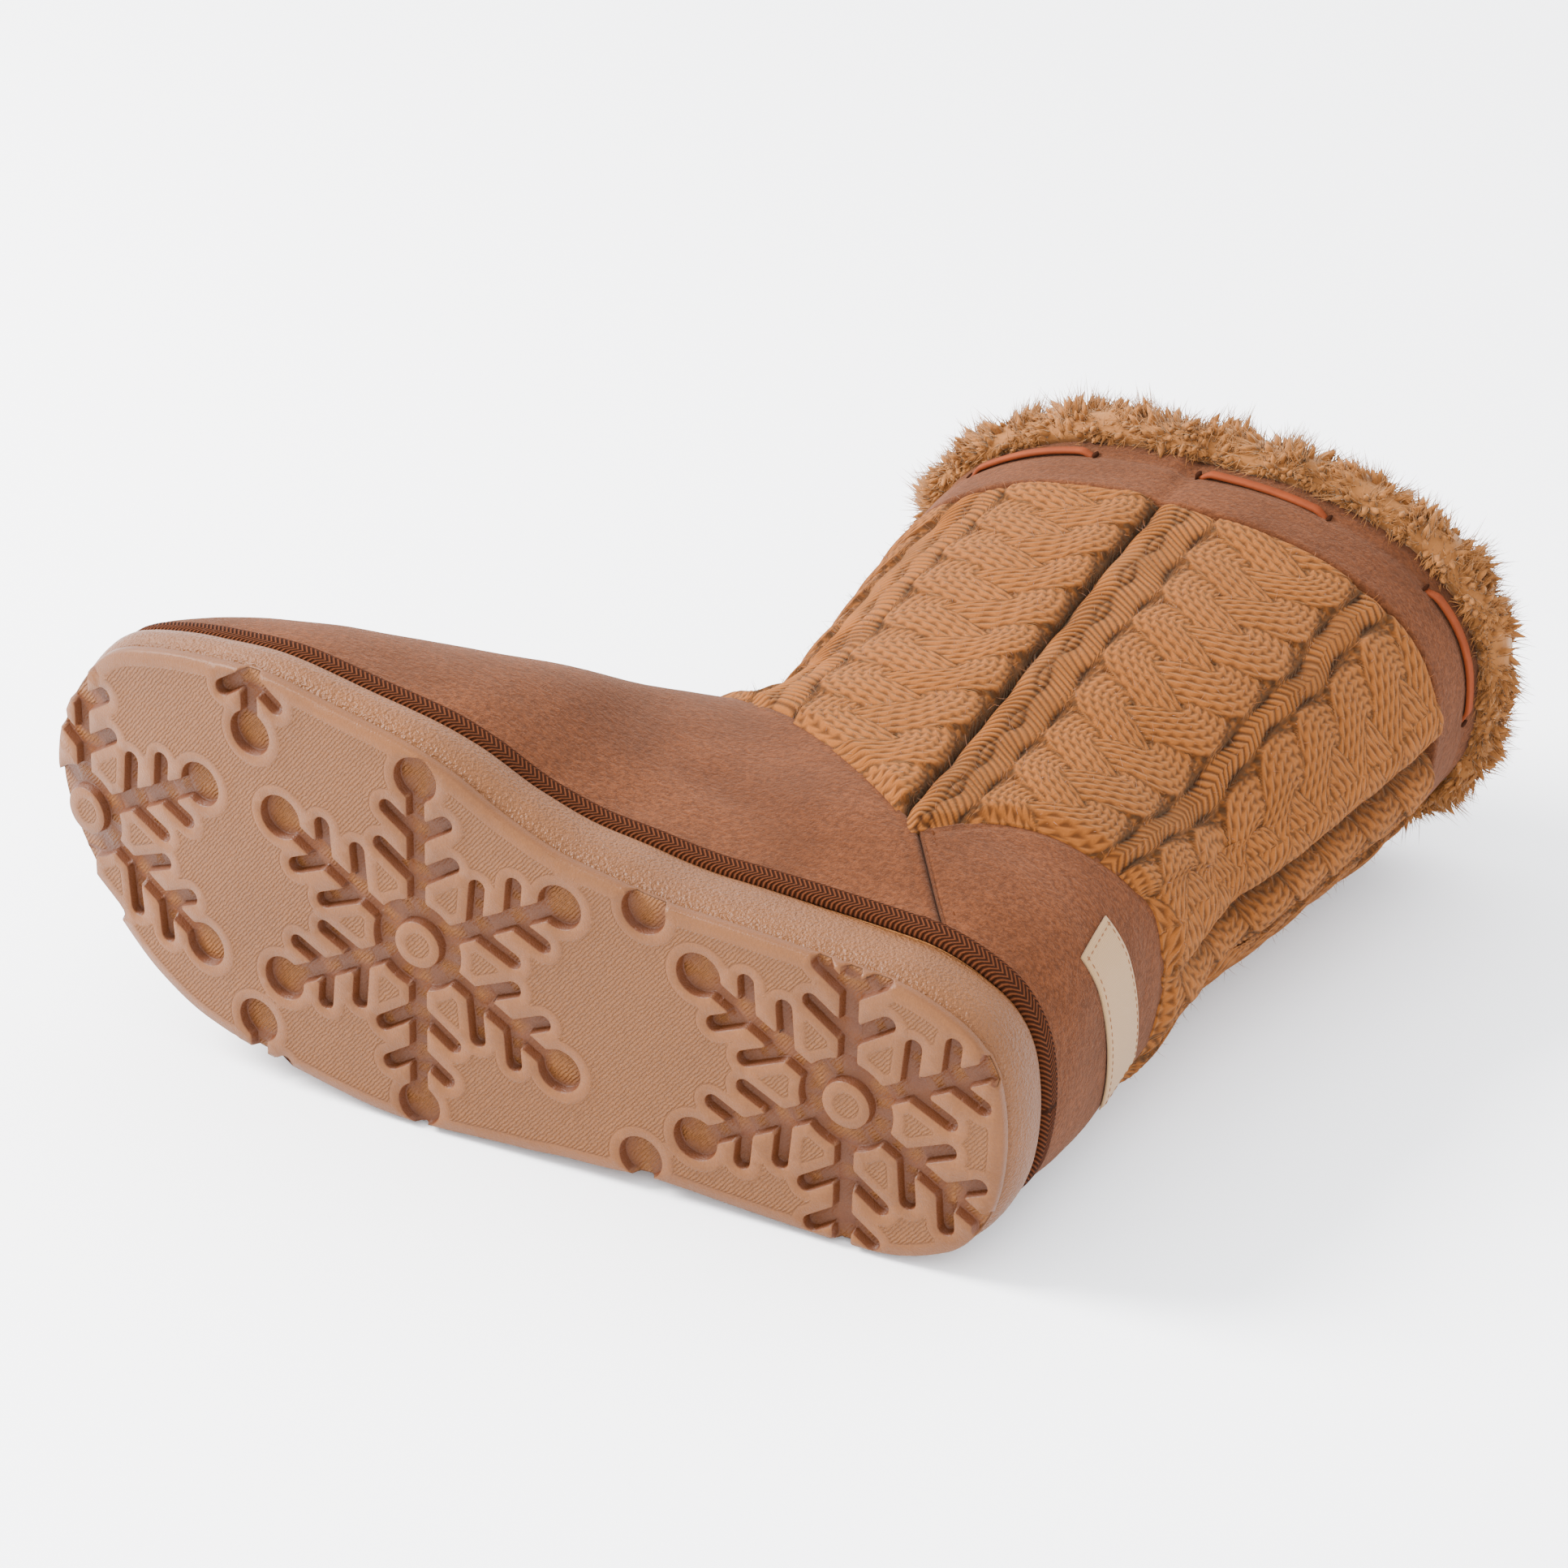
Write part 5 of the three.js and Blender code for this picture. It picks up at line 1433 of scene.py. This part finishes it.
def pile_roots(profile, turn, place):
    """Roots of the pile at turns and places over its section, with the way out and the lean."""
    pile = profile[:PILE_POINTS]
    arcs = lengths_along(pile)
    out, rise, next_out, next_rise = (np.interp(place * arcs[-1] + step, arcs, pile[:, k])
                                      for step in (0, 1) for k in (0, 1))
    roots = collar_point(turn, out, rise)
    run = unit(np.stack([next_out - out, next_rise - rise], -1))
    level = unit(normals(turn, UPPER_HEIGHT - 2) * [1, 1, 0])
    outward = level * run[:, 1:] + np.array([[0, 0, -1.0]]) * run[:, :1]
    # The pile stands up at the top and leans out and down at its outer side.
    lean = np.interp(place, [0, 0.25, 0.5, 0.75, 1], [-0.65, -0.3, 0.25, 0.45, 0.2])
    return roots, outward, np.array([[0, 0, 1.0]]) * lean[:, None]


def build_cuff(material):
    """The suede band, pinched under the cord and sewn at both side seams."""
    count, rows = 260, 30
    turns = np.arange(count) / count
    low = UPPER_HEIGHT - CUFF_HEIGHT - CUFF_OVERLAP
    heights = np.linspace(low, UPPER_HEIGHT, rows)[:, None] * np.ones((1, count))
    grid_turns = np.broadcast_to(turns[None], heights.shape)
    arcs = np.interp(turns, *ring_arc(CUFF_RING))
    up = heights - low
    places = surface(grid_turns, heights)
    swell = 0.35 * soft_noise(places, 42, 31) + 0.15 * soft_noise(places, 16, 32)
    roll = np.sqrt(np.clip(1 - (1 - np.minimum(1, up / 2.2)) ** 2, 0.06, 1))
    pinch = 0.5 * np.exp(-((up - (CUFF_HEIGHT - THONG_DROP + CUFF_OVERLAP)) / 2.5) ** 2)
    outer = GAP + (CUFF_THICKNESS + 0.9) * roll + swell * smooth(0, 6, up) - pinch
    for turn in SEAM_TURNS:
        outer = outer - 1.2 * np.exp(-((grid_turns - turn) * CUFF_ROUND / 2.2) ** 2)
    uv = np.stack([np.broadcast_to(arcs[None], heights.shape), heights], -1)
    shell_piece("cuff_suede", grid_turns, heights, outer, PANEL_BACK, material, uv, closed=True,
                slot="suede", replaces=["cuff_band"],
                marks={"edge": up + 1.0, "crease": np.zeros_like(up)}, inside_step=PANEL_STEP)


def build_thong(index, total, material):
    """One dash of the flat cord, whose ends dive into the cuff."""
    share = np.linspace(-0.5, 0.5, THONG_STEPS)
    middle = total * (THONG_START + index / THONG_COUNT)
    turns = turn_of_arc(UPPER_HEIGHT, middle + THONG_DASH * share)
    dip = smooth(0.40, 0.5, np.abs(share))
    out = GAP + CUFF_THICKNESS + THONG_LIFT - 1.6 * dip
    sag = -THONG_DROP + 0.7 * np.cos(share * np.pi) - THONG_SAG
    width = THONG_WIDTH * (1 - 0.25 * dip)
    loops = [collar_point(turns, out + through * 1.15, sag + across * width)
             for across, through in THONG_SECTION]
    count = len(THONG_SECTION)
    faces = grid_faces(THONG_STEPS, count, True)[:, ::-1]
    first = np.arange(count)[None]
    ends = [first, first[:, ::-1] + (THONG_STEPS - 1) * count]
    make_piece(f"thong_cord_{index + 1}", np.stack(loops, 1).reshape(-1, 3), [faces] + ends, material,
               "thong", [f"thong_{index + 1}"])


def build_slit(name, arc, total, material):
    """The dark rim of a slit at a length round the collar."""
    spread = np.linspace(0, 2 * np.pi, SLIT_POINTS, endpoint=False)
    turns = turn_of_arc(UPPER_HEIGHT, arc) + SLIT_HALF_WIDTH * np.cos(spread) / total
    rise = -THONG_DROP - THONG_SAG + SLIT_HALF_HEIGHT * np.sin(spread)
    loops = [collar_point(turns, GAP + CUFF_THICKNESS + lift, rise) for lift in (1.0, -0.2)]
    ring = np.arange(SLIT_POINTS)[None]
    faces = [grid_faces(2, SLIT_POINTS, True), ring[:, ::-1], ring + SLIT_POINTS]
    make_piece(name, np.concatenate(loops), faces, material, "suede")


def build_thongs(material, slit_material):
    """Every dash of the cord with a slit at either end."""
    total = ring_arc(UPPER_HEIGHT)[1][-1]
    for index in range(THONG_COUNT):
        build_thong(index, total, material)
        middle = total * (THONG_START + index / THONG_COUNT)
        for letter, end in (("a", -1), ("b", 1)):
            arc = middle + end * (THONG_DASH / 2 + 0.2)
            build_slit(f"slit_{index + 1}_{letter}", arc, total, slit_material)


def build_tape(material):
    """The woven tape round the joint of the sole and the upper."""
    arcs = np.arange(TAPE_COLUMNS) / TAPE_COLUMNS * ring_arc(TAPE_RING)[1][-1]
    turns = turn_of_arc(TAPE_RING, arcs)
    loops, uvs = [], []
    for up, out in TAPE_PROFILE:
        height = max(0.0, up * TAPE_HEIGHT)
        point = offset(turns, np.full(TAPE_COLUMNS, height), GAP + out * TAPE_THICKNESS, True)
        point[:, 2] = feather_height(point[:, 1]) + height + GAP * 0.7
        loops.append(point)
        uvs.append(np.column_stack([arcs, np.full(TAPE_COLUMNS, up * TAPE_HEIGHT)]))
    inner = offset(turns, np.zeros(TAPE_COLUMNS), GAP * 0.4, True)
    inner[:, 2] += GAP * 0.7
    loops.append(inner)
    uvs.append(np.column_stack([arcs, np.zeros(TAPE_COLUMNS)]))
    make_piece("tape_band", np.concatenate(loops), [tube_faces(len(loops), TAPE_COLUMNS)], material,
               "tape", ["binding_tape"], np.concatenate(uvs))


def label_place(u, v):
    """Turns and heights of places on the tilted label, across it and up it."""
    arc = u * math.cos(LABEL_TILT) + v * math.sin(LABEL_TILT) + LABEL_INWARD * LABEL_WIDTH
    height = LABEL_UP - u * math.sin(LABEL_TILT) + v * math.cos(LABEL_TILT)
    return turn_of_arc(LABEL_UP, arc), height


def build_label(material):
    """The plain woven patch on the counter."""
    columns, rows = 60, 26
    u = np.linspace(-0.5, 0.5, columns)[None] * LABEL_WIDTH * np.ones((rows, 1))
    v = np.linspace(-0.5, 0.5, rows)[:, None] * LABEL_HEIGHT * np.ones((1, columns))
    turns, height = label_place(u, v)
    turns = np.where(turns > 0.5, turns - 1, turns)
    edge = np.minimum(LABEL_WIDTH / 2 - np.abs(u), LABEL_HEIGHT / 2 - np.abs(v))
    outer = GAP + LABEL_LIFT - 0.35 * np.exp(-(edge / 0.5) ** 2)
    shell_piece("label_patch", turns, height, outer, GAP + 1.9, material, np.stack([u, v], -1),
                slot="label", replaces=["heel_label"])


def build_lining(material):
    """The brushed bag that lines the upper."""
    count, rows = 120, 60
    turns = np.arange(count) / count
    heights = np.linspace(0, UPPER_HEIGHT, rows)[:, None] * np.ones((1, count))
    grid_turns = np.broadcast_to(turns[None], heights.shape)
    uv = np.stack([grid_turns * SHAFT_ROUND, heights], -1)
    shell_piece("lining_bag", grid_turns, heights, np.full(heights.shape, 0.1), -UPPER_WALL, material,
                uv, closed=True, slot="lining", replaces=["upper"], inside_step=LINING_STEP)


# Stitches by geometry nodes

STITCHES = []
STITCH_INPUTS = (("Geometry", "Geometry"), ("Pitch", "Float"), ("Stitch length", "Float"),
                 ("Thread radius", "Float"), ("Finish", "Material"))
STITCH_LINKS = (
    ("start", "Geometry", "curve", 0), ("curve", 0, "resample", "Curve"),
    ("start", "Pitch", "resample", "Length"), ("resample", 0, "instances", "Points"),
    ("shape", "Mesh", "instances", "Instance"), ("tangent", 0, "align", "Vector"),
    ("align", 0, "instances", "Rotation"), ("start", "Stitch length", "half", 0),
    ("half", 0, "sizes", 0), ("start", "Thread radius", "sizes", 1),
    ("start", "Thread radius", "sizes", 2), ("sizes", 0, "instances", "Scale"),
    ("instances", 0, "real", 0), ("real", 0, "finish", "Geometry"),
    ("start", "Finish", "finish", "Material"), ("finish", 0, "end", 0),
)


def stitch_tree():
    """The node group of the stitches and the names of its four settings."""
    tree = bpy.data.node_groups.new("Stitches along a line", "GeometryNodeTree")
    sockets = [socket(tree, name, kind, "INPUT") for name, kind in STITCH_INPUTS]
    socket(tree, "Geometry", "Geometry", "OUTPUT")
    kinds = {
        "start": "NodeGroupInput", "end": "NodeGroupOutput",
        "curve": "GeometryNodeMeshToCurve", "resample": "GeometryNodeResampleCurve",
        "shape": "GeometryNodeMeshIcoSphere", "tangent": "GeometryNodeInputTangent",
        "align": "FunctionNodeAlignRotationToVector", "sizes": "ShaderNodeCombineXYZ",
        "instances": "GeometryNodeInstanceOnPoints", "real": "GeometryNodeRealizeInstances",
        "finish": "GeometryNodeSetMaterial", "half": "ShaderNodeMath",
    }
    nodes = {key: tree.nodes.new(kind) for key, kind in kinds.items()}
    nodes["resample"].mode = "LENGTH"
    nodes["shape"].inputs["Subdivisions"].default_value = 2
    nodes["shape"].inputs["Radius"].default_value = 1.0
    nodes["align"].axis = "X"
    nodes["half"].operation = "MULTIPLY"
    nodes["half"].inputs[1].default_value = 0.5
    for source, output, target, input_name in STITCH_LINKS:
        tree.links.new(nodes[source].outputs[output], nodes[target].inputs[input_name])
    return [tree] + [made.identifier for made in sockets[1:]]


def stitch_line(name, lines, material, pitch=2.6, length=2.0, radius=0.22):
    """Stitches along open lines of points in the boot's frame."""
    if not STITCHES:
        STITCHES.extend(stitch_tree())
    tree, pitch_id, length_id, thick_id, finish_id = STITCHES
    mesh = bpy.data.meshes.new(name + "_line")
    points, edges = [], []
    for line in lines:
        first = len(points)
        points += to_world(line).tolist()
        edges += [(first + i, first + i + 1) for i in range(len(line) - 1)]
    mesh.from_pydata(points, edges, [])
    carrier = add_object(name + "_line", mesh)
    modifier = carrier.modifiers.new("Stitches", "NODES")
    modifier.node_group = tree
    modifier[pitch_id] = pitch / 1000
    modifier[length_id] = length / 1000
    modifier[thick_id] = radius / 1000
    modifier[finish_id] = material
    bpy.context.view_layer.update()
    graph = bpy.context.evaluated_depsgraph_get()
    real = bpy.data.meshes.new_from_object(carrier.evaluated_get(graph))
    bpy.data.objects.remove(carrier)
    real.name = name
    real.materials.clear()
    real.materials.append(material)
    real.polygons.foreach_set("use_smooth", np.full(len(real.polygons), True))
    finish_piece(add_object(name, real))


# Settings, operators and panel

def colour_property(name, description, default):
    return bpy.props.FloatVectorProperty(
        name=name, description=description, default=default, subtype="COLOR", size=3, min=0, max=1)


class BootSizes(bpy.types.PropertyGroup):
    """Sizes that set how finely the pieces are made"""
    tread_step: bpy.props.FloatProperty(
        name="Tread step", default=0.8, min=0.4, max=2.0,
        description="Spacing of the samples from which the tread is drawn, in millimetres")
    rim_steps: bpy.props.IntProperty(
        name="Rim points", default=640, min=120, max=1200,
        description="Points round the edge of the tread")
    knit_columns: bpy.props.IntProperty(
        name="Knit columns", default=330, min=80, max=600,
        description="Columns of the mesh of each knitted panel")
    knit_rows: bpy.props.IntProperty(
        name="Knit rows", default=250, min=40, max=300,
        description="Rows of the mesh of each knitted panel")


class BootColours(bpy.types.PropertyGroup):
    """Colours of the boot's finishes"""
    suede: colour_property("Suede", "Dye of the napped panels", (0.071, 0.0218, 0.0077))
    knit: colour_property("Knit", "Yarn of the shaft", (0.17, 0.0535, 0.0108))
    knit_gap: colour_property("Knit gaps", "Shade between the stitches", (0.018, 0.0055, 0.0018))
    fur: colour_property("Fur", "Pile of the collar", (0.2, 0.0735, 0.016))
    sole: colour_property("Sole", "Rubber of the sole", (0.1, 0.0345, 0.0084))
    field: colour_property("Tread fields", "Rubber of the grained fields", (0.114, 0.0412, 0.0102))
    # The colour of the painted shade on the recess walls and the tread band.
    recess: colour_property("Recess walls", "Rubber of the recesses' walls", (0.048, 0.0108, 0.0028))
    tape: colour_property("Tape", "Thread of the binding tape", (0.052, 0.0148, 0.0052))
    thong: colour_property("Thong", "Dye of the flat cord", (0.12, 0.022, 0.0045))
    label: colour_property("Label", "Thread of the woven label", (0.25, 0.148, 0.067))


class FurSettings(bpy.types.PropertyGroup):
    """Pile of the collar and fuzz of the yarn"""
    seed: bpy.props.IntProperty(
        name="Seed", description="Seed of the pile's spread", default=5)
    outer_locks: bpy.props.IntProperty(
        name="Outer locks", description="Locks on the outer side of the collar", default=2300, min=10)
    inner_locks: bpy.props.IntProperty(
        name="Inner locks", description="Locks on the inner side of the collar", default=800, min=10)
    outer_hairs: bpy.props.IntProperty(
        name="Outer hairs", description="Hairs on the outer side of the collar",
        default=17500, min=10)
    inner_hairs: bpy.props.IntProperty(
        name="Inner hairs", description="Hairs on the inner side of the collar", default=6000, min=10)
    hair_length: bpy.props.FloatProperty(
        name="Hair length", description="Length of the hairs in millimetres", default=7.6, min=1)
    hair_width: bpy.props.FloatProperty(
        name="Hair width", description="Width at the root in millimetres", default=0.4, min=0.05)
    lock_width: bpy.props.FloatProperty(
        name="Lock width", description="Width of a lock at its root in millimetres", default=2.4, min=0.2)
    fibres: bpy.props.IntProperty(
        name="Yarn fibres", description="Loose fibres on the knit", default=5000, min=10)


class StageSettings(bpy.types.PropertyGroup):
    """Floor, lights and background"""
    floor: colour_property("Floor", "Colour of the floor", (0.965, 0.965, 0.98))
    sky: bpy.props.FloatProperty(
        name="Sky strength", description="Strength of the even light", default=3.9, min=0)
    key: bpy.props.FloatProperty(
        name="Key light", description="Power of the main light",
        subtype="POWER", unit="POWER", default=126.0, min=0)
    fill: bpy.props.FloatProperty(
        name="Fill light", description="Power of the fill light",
        subtype="POWER", unit="POWER", default=12.0, min=0)


LABEL_THREAD = (0.16, 0.07, 0.035, 1)
SLIT_SHADOW = (0.02, 0.006, 0.0025, 1)


MATERIALS = {}


def material(name):
    """The finish of that name, made when it is first asked for."""
    scene = bpy.context.scene
    colours = scene.boot_colours
    makers = {
        "suede": lambda: suede_material(colours),
        "rubber": lambda: rubber_material(colours),
        "tape": lambda: tape_material(colours),
        "knit": lambda: knit_material(colours),
        "fuzz": lambda: fuzz_material(colours),
        "fur": lambda: fur_material(colours),
        "lining": lambda: lining_material(colours),
        "thong": lambda: thong_material(colours),
        "label": lambda: label_material(colours),
        "suede thread": lambda: thread_material("Suede thread", shade(colours.suede, 0.75)),
        "label thread": lambda: thread_material("Label thread", LABEL_THREAD),
        "slit": lambda: thread_material("Slit shadow", SLIT_SHADOW),
        "floor": lambda: floor_material(scene.boot_stage),
    }
    if name not in MATERIALS:
        MATERIALS[name] = makers[name]()
    return MATERIALS[name]


# How far the vamp's stitches stand off the foot, and the points left free at each end
SEAM_LIFT = 1.55
SEAM_FREE = 6


def panel_stitches(turns, heights, inset, lift):
    """A row of stitches that keeps an even distance below a panel's top edge."""
    points = surface(turns, heights)
    normal = normals(turns, heights)
    down = unit(np.cross(unit(np.gradient(points, axis=0)), normal))
    return points + down * inset + normal * lift


class BOOT_OT_sole(bpy.types.Operator):
    """Make the moulded sole with its snowflake recesses"""
    bl_idname = "boot.sole"
    bl_label = "Sole"

    def execute(self, context):
        build_outsole(context.scene.boot_sizes, material("rubber"))
        return {"FINISHED"}


class BOOT_OT_foot(bpy.types.Operator):
    """Make the suede vamp and counter, with their seams, and the binding tape"""
    bl_idname = "boot.foot"
    bl_label = "Suede foot"

    def execute(self, context):
        turns, heights = build_vamp(material("suede"))
        build_counter(material("suede"))
        build_tape(material("tape"))
        kept = slice(SEAM_FREE, -SEAM_FREE)
        line = panel_stitches(turns[kept], heights[kept], SEAM_INSET, GAP + SEAM_LIFT)
        stitch_line("vamp_stitches", [line], material("suede thread"))
        return {"FINISHED"}


class BOOT_OT_knit(bpy.types.Operator):
    """Make the knitted shaft with its cables and loose fibres"""
    bl_idname = "boot.knit"
    bl_label = "Knitted shaft"

    def execute(self, context):
        grids = build_knit(context.scene.boot_sizes, material("knit"))
        for name, grid in zip(("knit_front_fuzz", "knit_back_fuzz"), grids):
            build_knit_fuzz(name, grid, material("fuzz"), context.scene.boot_fur)
        return {"FINISHED"}


class BOOT_OT_collar(bpy.types.Operator):
    """Make the cuff, the thong in its slits and the fur of the collar"""
    bl_idname = "boot.collar"
    bl_label = "Cuff and fur"

    def execute(self, context):
        build_cuff(material("suede"))
        build_thongs(material("thong"), material("slit"))
        build_fur(context.scene.boot_fur, material("fur"))
        return {"FINISHED"}


class BOOT_OT_label(bpy.types.Operator):
    """Make the plain woven label on the back of the heel"""
    bl_idname = "boot.label"
    bl_label = "Heel label"

    def execute(self, context):
        build_label(material("label"))
        wide, high = LABEL_WIDTH / 2 - LABEL_HEM, LABEL_HEIGHT / 2 - LABEL_HEM
        corners = [(-wide, -high), (wide, -high), (wide, high), (-wide, high), (-wide, -high)]
        share = np.linspace(0, 1, 30)
        lines = [offset(*label_place(lerp(a, c, share), lerp(b, d, share)), GAP + LABEL_LIFT)
                 for (a, b), (c, d) in zip(corners[:-1], corners[1:])]
        stitch_line("label_stitches", lines, material("label thread"), 2.2, 1.5, 0.18)
        return {"FINISHED"}


class BOOT_OT_inside(bpy.types.Operator):
    """Make the lining and dress the insole"""
    bl_idname = "boot.inside"
    bl_label = "Inside"

    def execute(self, context):
        build_lining(material("lining"))
        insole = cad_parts["insole"]
        insole.data.materials.clear()
        insole.data.materials.append(material("lining"))
        return {"FINISHED"}


# The camera in the boot's own frame, in millimetres
CAMERA_PLACE = (-650.38, -410.5, -886.55)
CAMERA_AZIMUTH = 27.792
CAMERA_ELEVATION = 29.995
CAMERA_ROLL = 1.489
CAMERA_LENS = 121.12
SENSOR_WIDTH = 36
CLIP_RANGE = (0.05, 20)
# The floor and the lights in the world, in metres
FLOOR_CORNERS = [(-6, -4, 0), (6, -4, 0), (6, 9, 0), (-6, 9, 0)]
SKY_COLOUR = (0.95, 0.97, 1.0, 1)
KEY_PLACE = (-1.25, -0.55, 1.15)
KEY_SIZE = 0.8
KEY_COLOUR = (1, 0.98, 0.96)
FILL_PLACE = (0.9, -1.4, 1.1)
FILL_SIZE = 1.6
LIGHT_AIM = (0, 0, 0.05)


def add_camera():
    a, e, roll = (math.radians(v) for v in (CAMERA_AZIMUTH, CAMERA_ELEVATION, CAMERA_ROLL))
    back = Vector((math.sin(a) * math.cos(e), -math.cos(a) * math.cos(e), math.sin(e)))
    right = Vector((math.cos(a), math.sin(a), 0))
    above = back.cross(right)
    rolled_right = right * math.cos(roll) + above * math.sin(roll)
    rolled_up = above * math.cos(roll) - right * math.sin(roll)

    def turned(vector):
        in_boot = np.array([-vector[2], -vector[0], vector[1]])
        return Vector(PLACE[:, :3] @ in_boot).normalized()

    axes = Matrix([turned(rolled_right), turned(rolled_up), turned(back)]).transposed()
    data = bpy.data.cameras.new("camera")
    data.lens = CAMERA_LENS
    data.sensor_width = SENSOR_WIDTH
    data.clip_start, data.clip_end = CLIP_RANGE
    camera = add_object("camera", data)
    camera.location = to_world([CAMERA_PLACE])[0]
    camera.rotation_mode = "QUATERNION"
    camera.rotation_quaternion = axes.to_quaternion()
    bpy.context.scene.camera = camera


def add_area(name, place, size, power, colour=(1, 1, 1)):
    """A round lamp that looks at the boot."""
    data = bpy.data.lights.new(name, "AREA")
    data.shape = "DISK"
    data.size = size
    data.energy = power
    data.color = colour
    light = add_object(name, data)
    light.location = place
    light.rotation_mode = "QUATERNION"
    light.rotation_quaternion = (Vector(LIGHT_AIM) - Vector(place)).to_track_quat("-Z", "Y")


class BOOT_OT_stage(bpy.types.Operator):
    """Make the pale floor, the soft studio light and the camera"""
    bl_idname = "boot.stage"
    bl_label = "Stage"

    def execute(self, context):
        stage = context.scene.boot_stage
        mesh = bpy.data.meshes.new("floor")
        mesh.from_pydata(FLOOR_CORNERS, [], [(0, 1, 2, 3)])
        mesh.materials.append(material("floor"))
        floor = add_object("floor", mesh)
        world = bpy.data.worlds.new("studio")
        world.use_nodes = True
        background = world.node_tree.nodes["Background"]
        background.inputs["Color"].default_value = SKY_COLOUR
        background.inputs["Strength"].default_value = stage.sky
        context.scene.world = world
        add_area("key", KEY_PLACE, KEY_SIZE, stage.key, KEY_COLOUR)
        add_area("fill", FILL_PLACE, FILL_SIZE, stage.fill)
        add_camera()
        return {"FINISHED"}


class BOOT_PT_panel(bpy.types.Panel):
    """Makes the boot's pieces and holds their settings"""
    bl_idname = "BOOT_PT_panel"
    bl_label = "Sweater boot"
    bl_space_type = "VIEW_3D"
    bl_region_type = "UI"
    bl_category = "Boot"

    def draw(self, context):
        scene = context.scene
        for group in (scene.boot_sizes, scene.boot_colours, scene.boot_fur, scene.boot_stage):
            box = self.layout.box()
            for key in group.bl_rna.properties.keys():
                if key not in ("rna_type", "name"):
                    box.prop(group, key)
        for operator in PIECES:
            self.layout.operator(operator.bl_idname)


PIECES = (BOOT_OT_sole, BOOT_OT_foot, BOOT_OT_knit, BOOT_OT_collar, BOOT_OT_label, BOOT_OT_inside,
          BOOT_OT_stage)
CLASSES = (BootSizes, BootColours, FurSettings, StageSettings) + PIECES + (BOOT_PT_panel,)
SETTINGS = {"boot_sizes": BootSizes, "boot_colours": BootColours, "boot_fur": FurSettings,
            "boot_stage": StageSettings}


def register():
    for made in CLASSES:
        bpy.utils.register_class(made)
    for key, group in SETTINGS.items():
        setattr(bpy.types.Scene, key, bpy.props.PointerProperty(type=group))


def unregister():
    for key in SETTINGS:
        delattr(bpy.types.Scene, key)
    for made in reversed(CLASSES):
        bpy.utils.unregister_class(made)


def main():
    register()
    bpy.ops.boot.sole()
    bpy.ops.boot.foot()
    bpy.ops.boot.knit()
    bpy.ops.boot.collar()
    bpy.ops.boot.label()
    bpy.ops.boot.inside()
    bpy.ops.boot.stage()


if __name__ == "__main__":
    main()
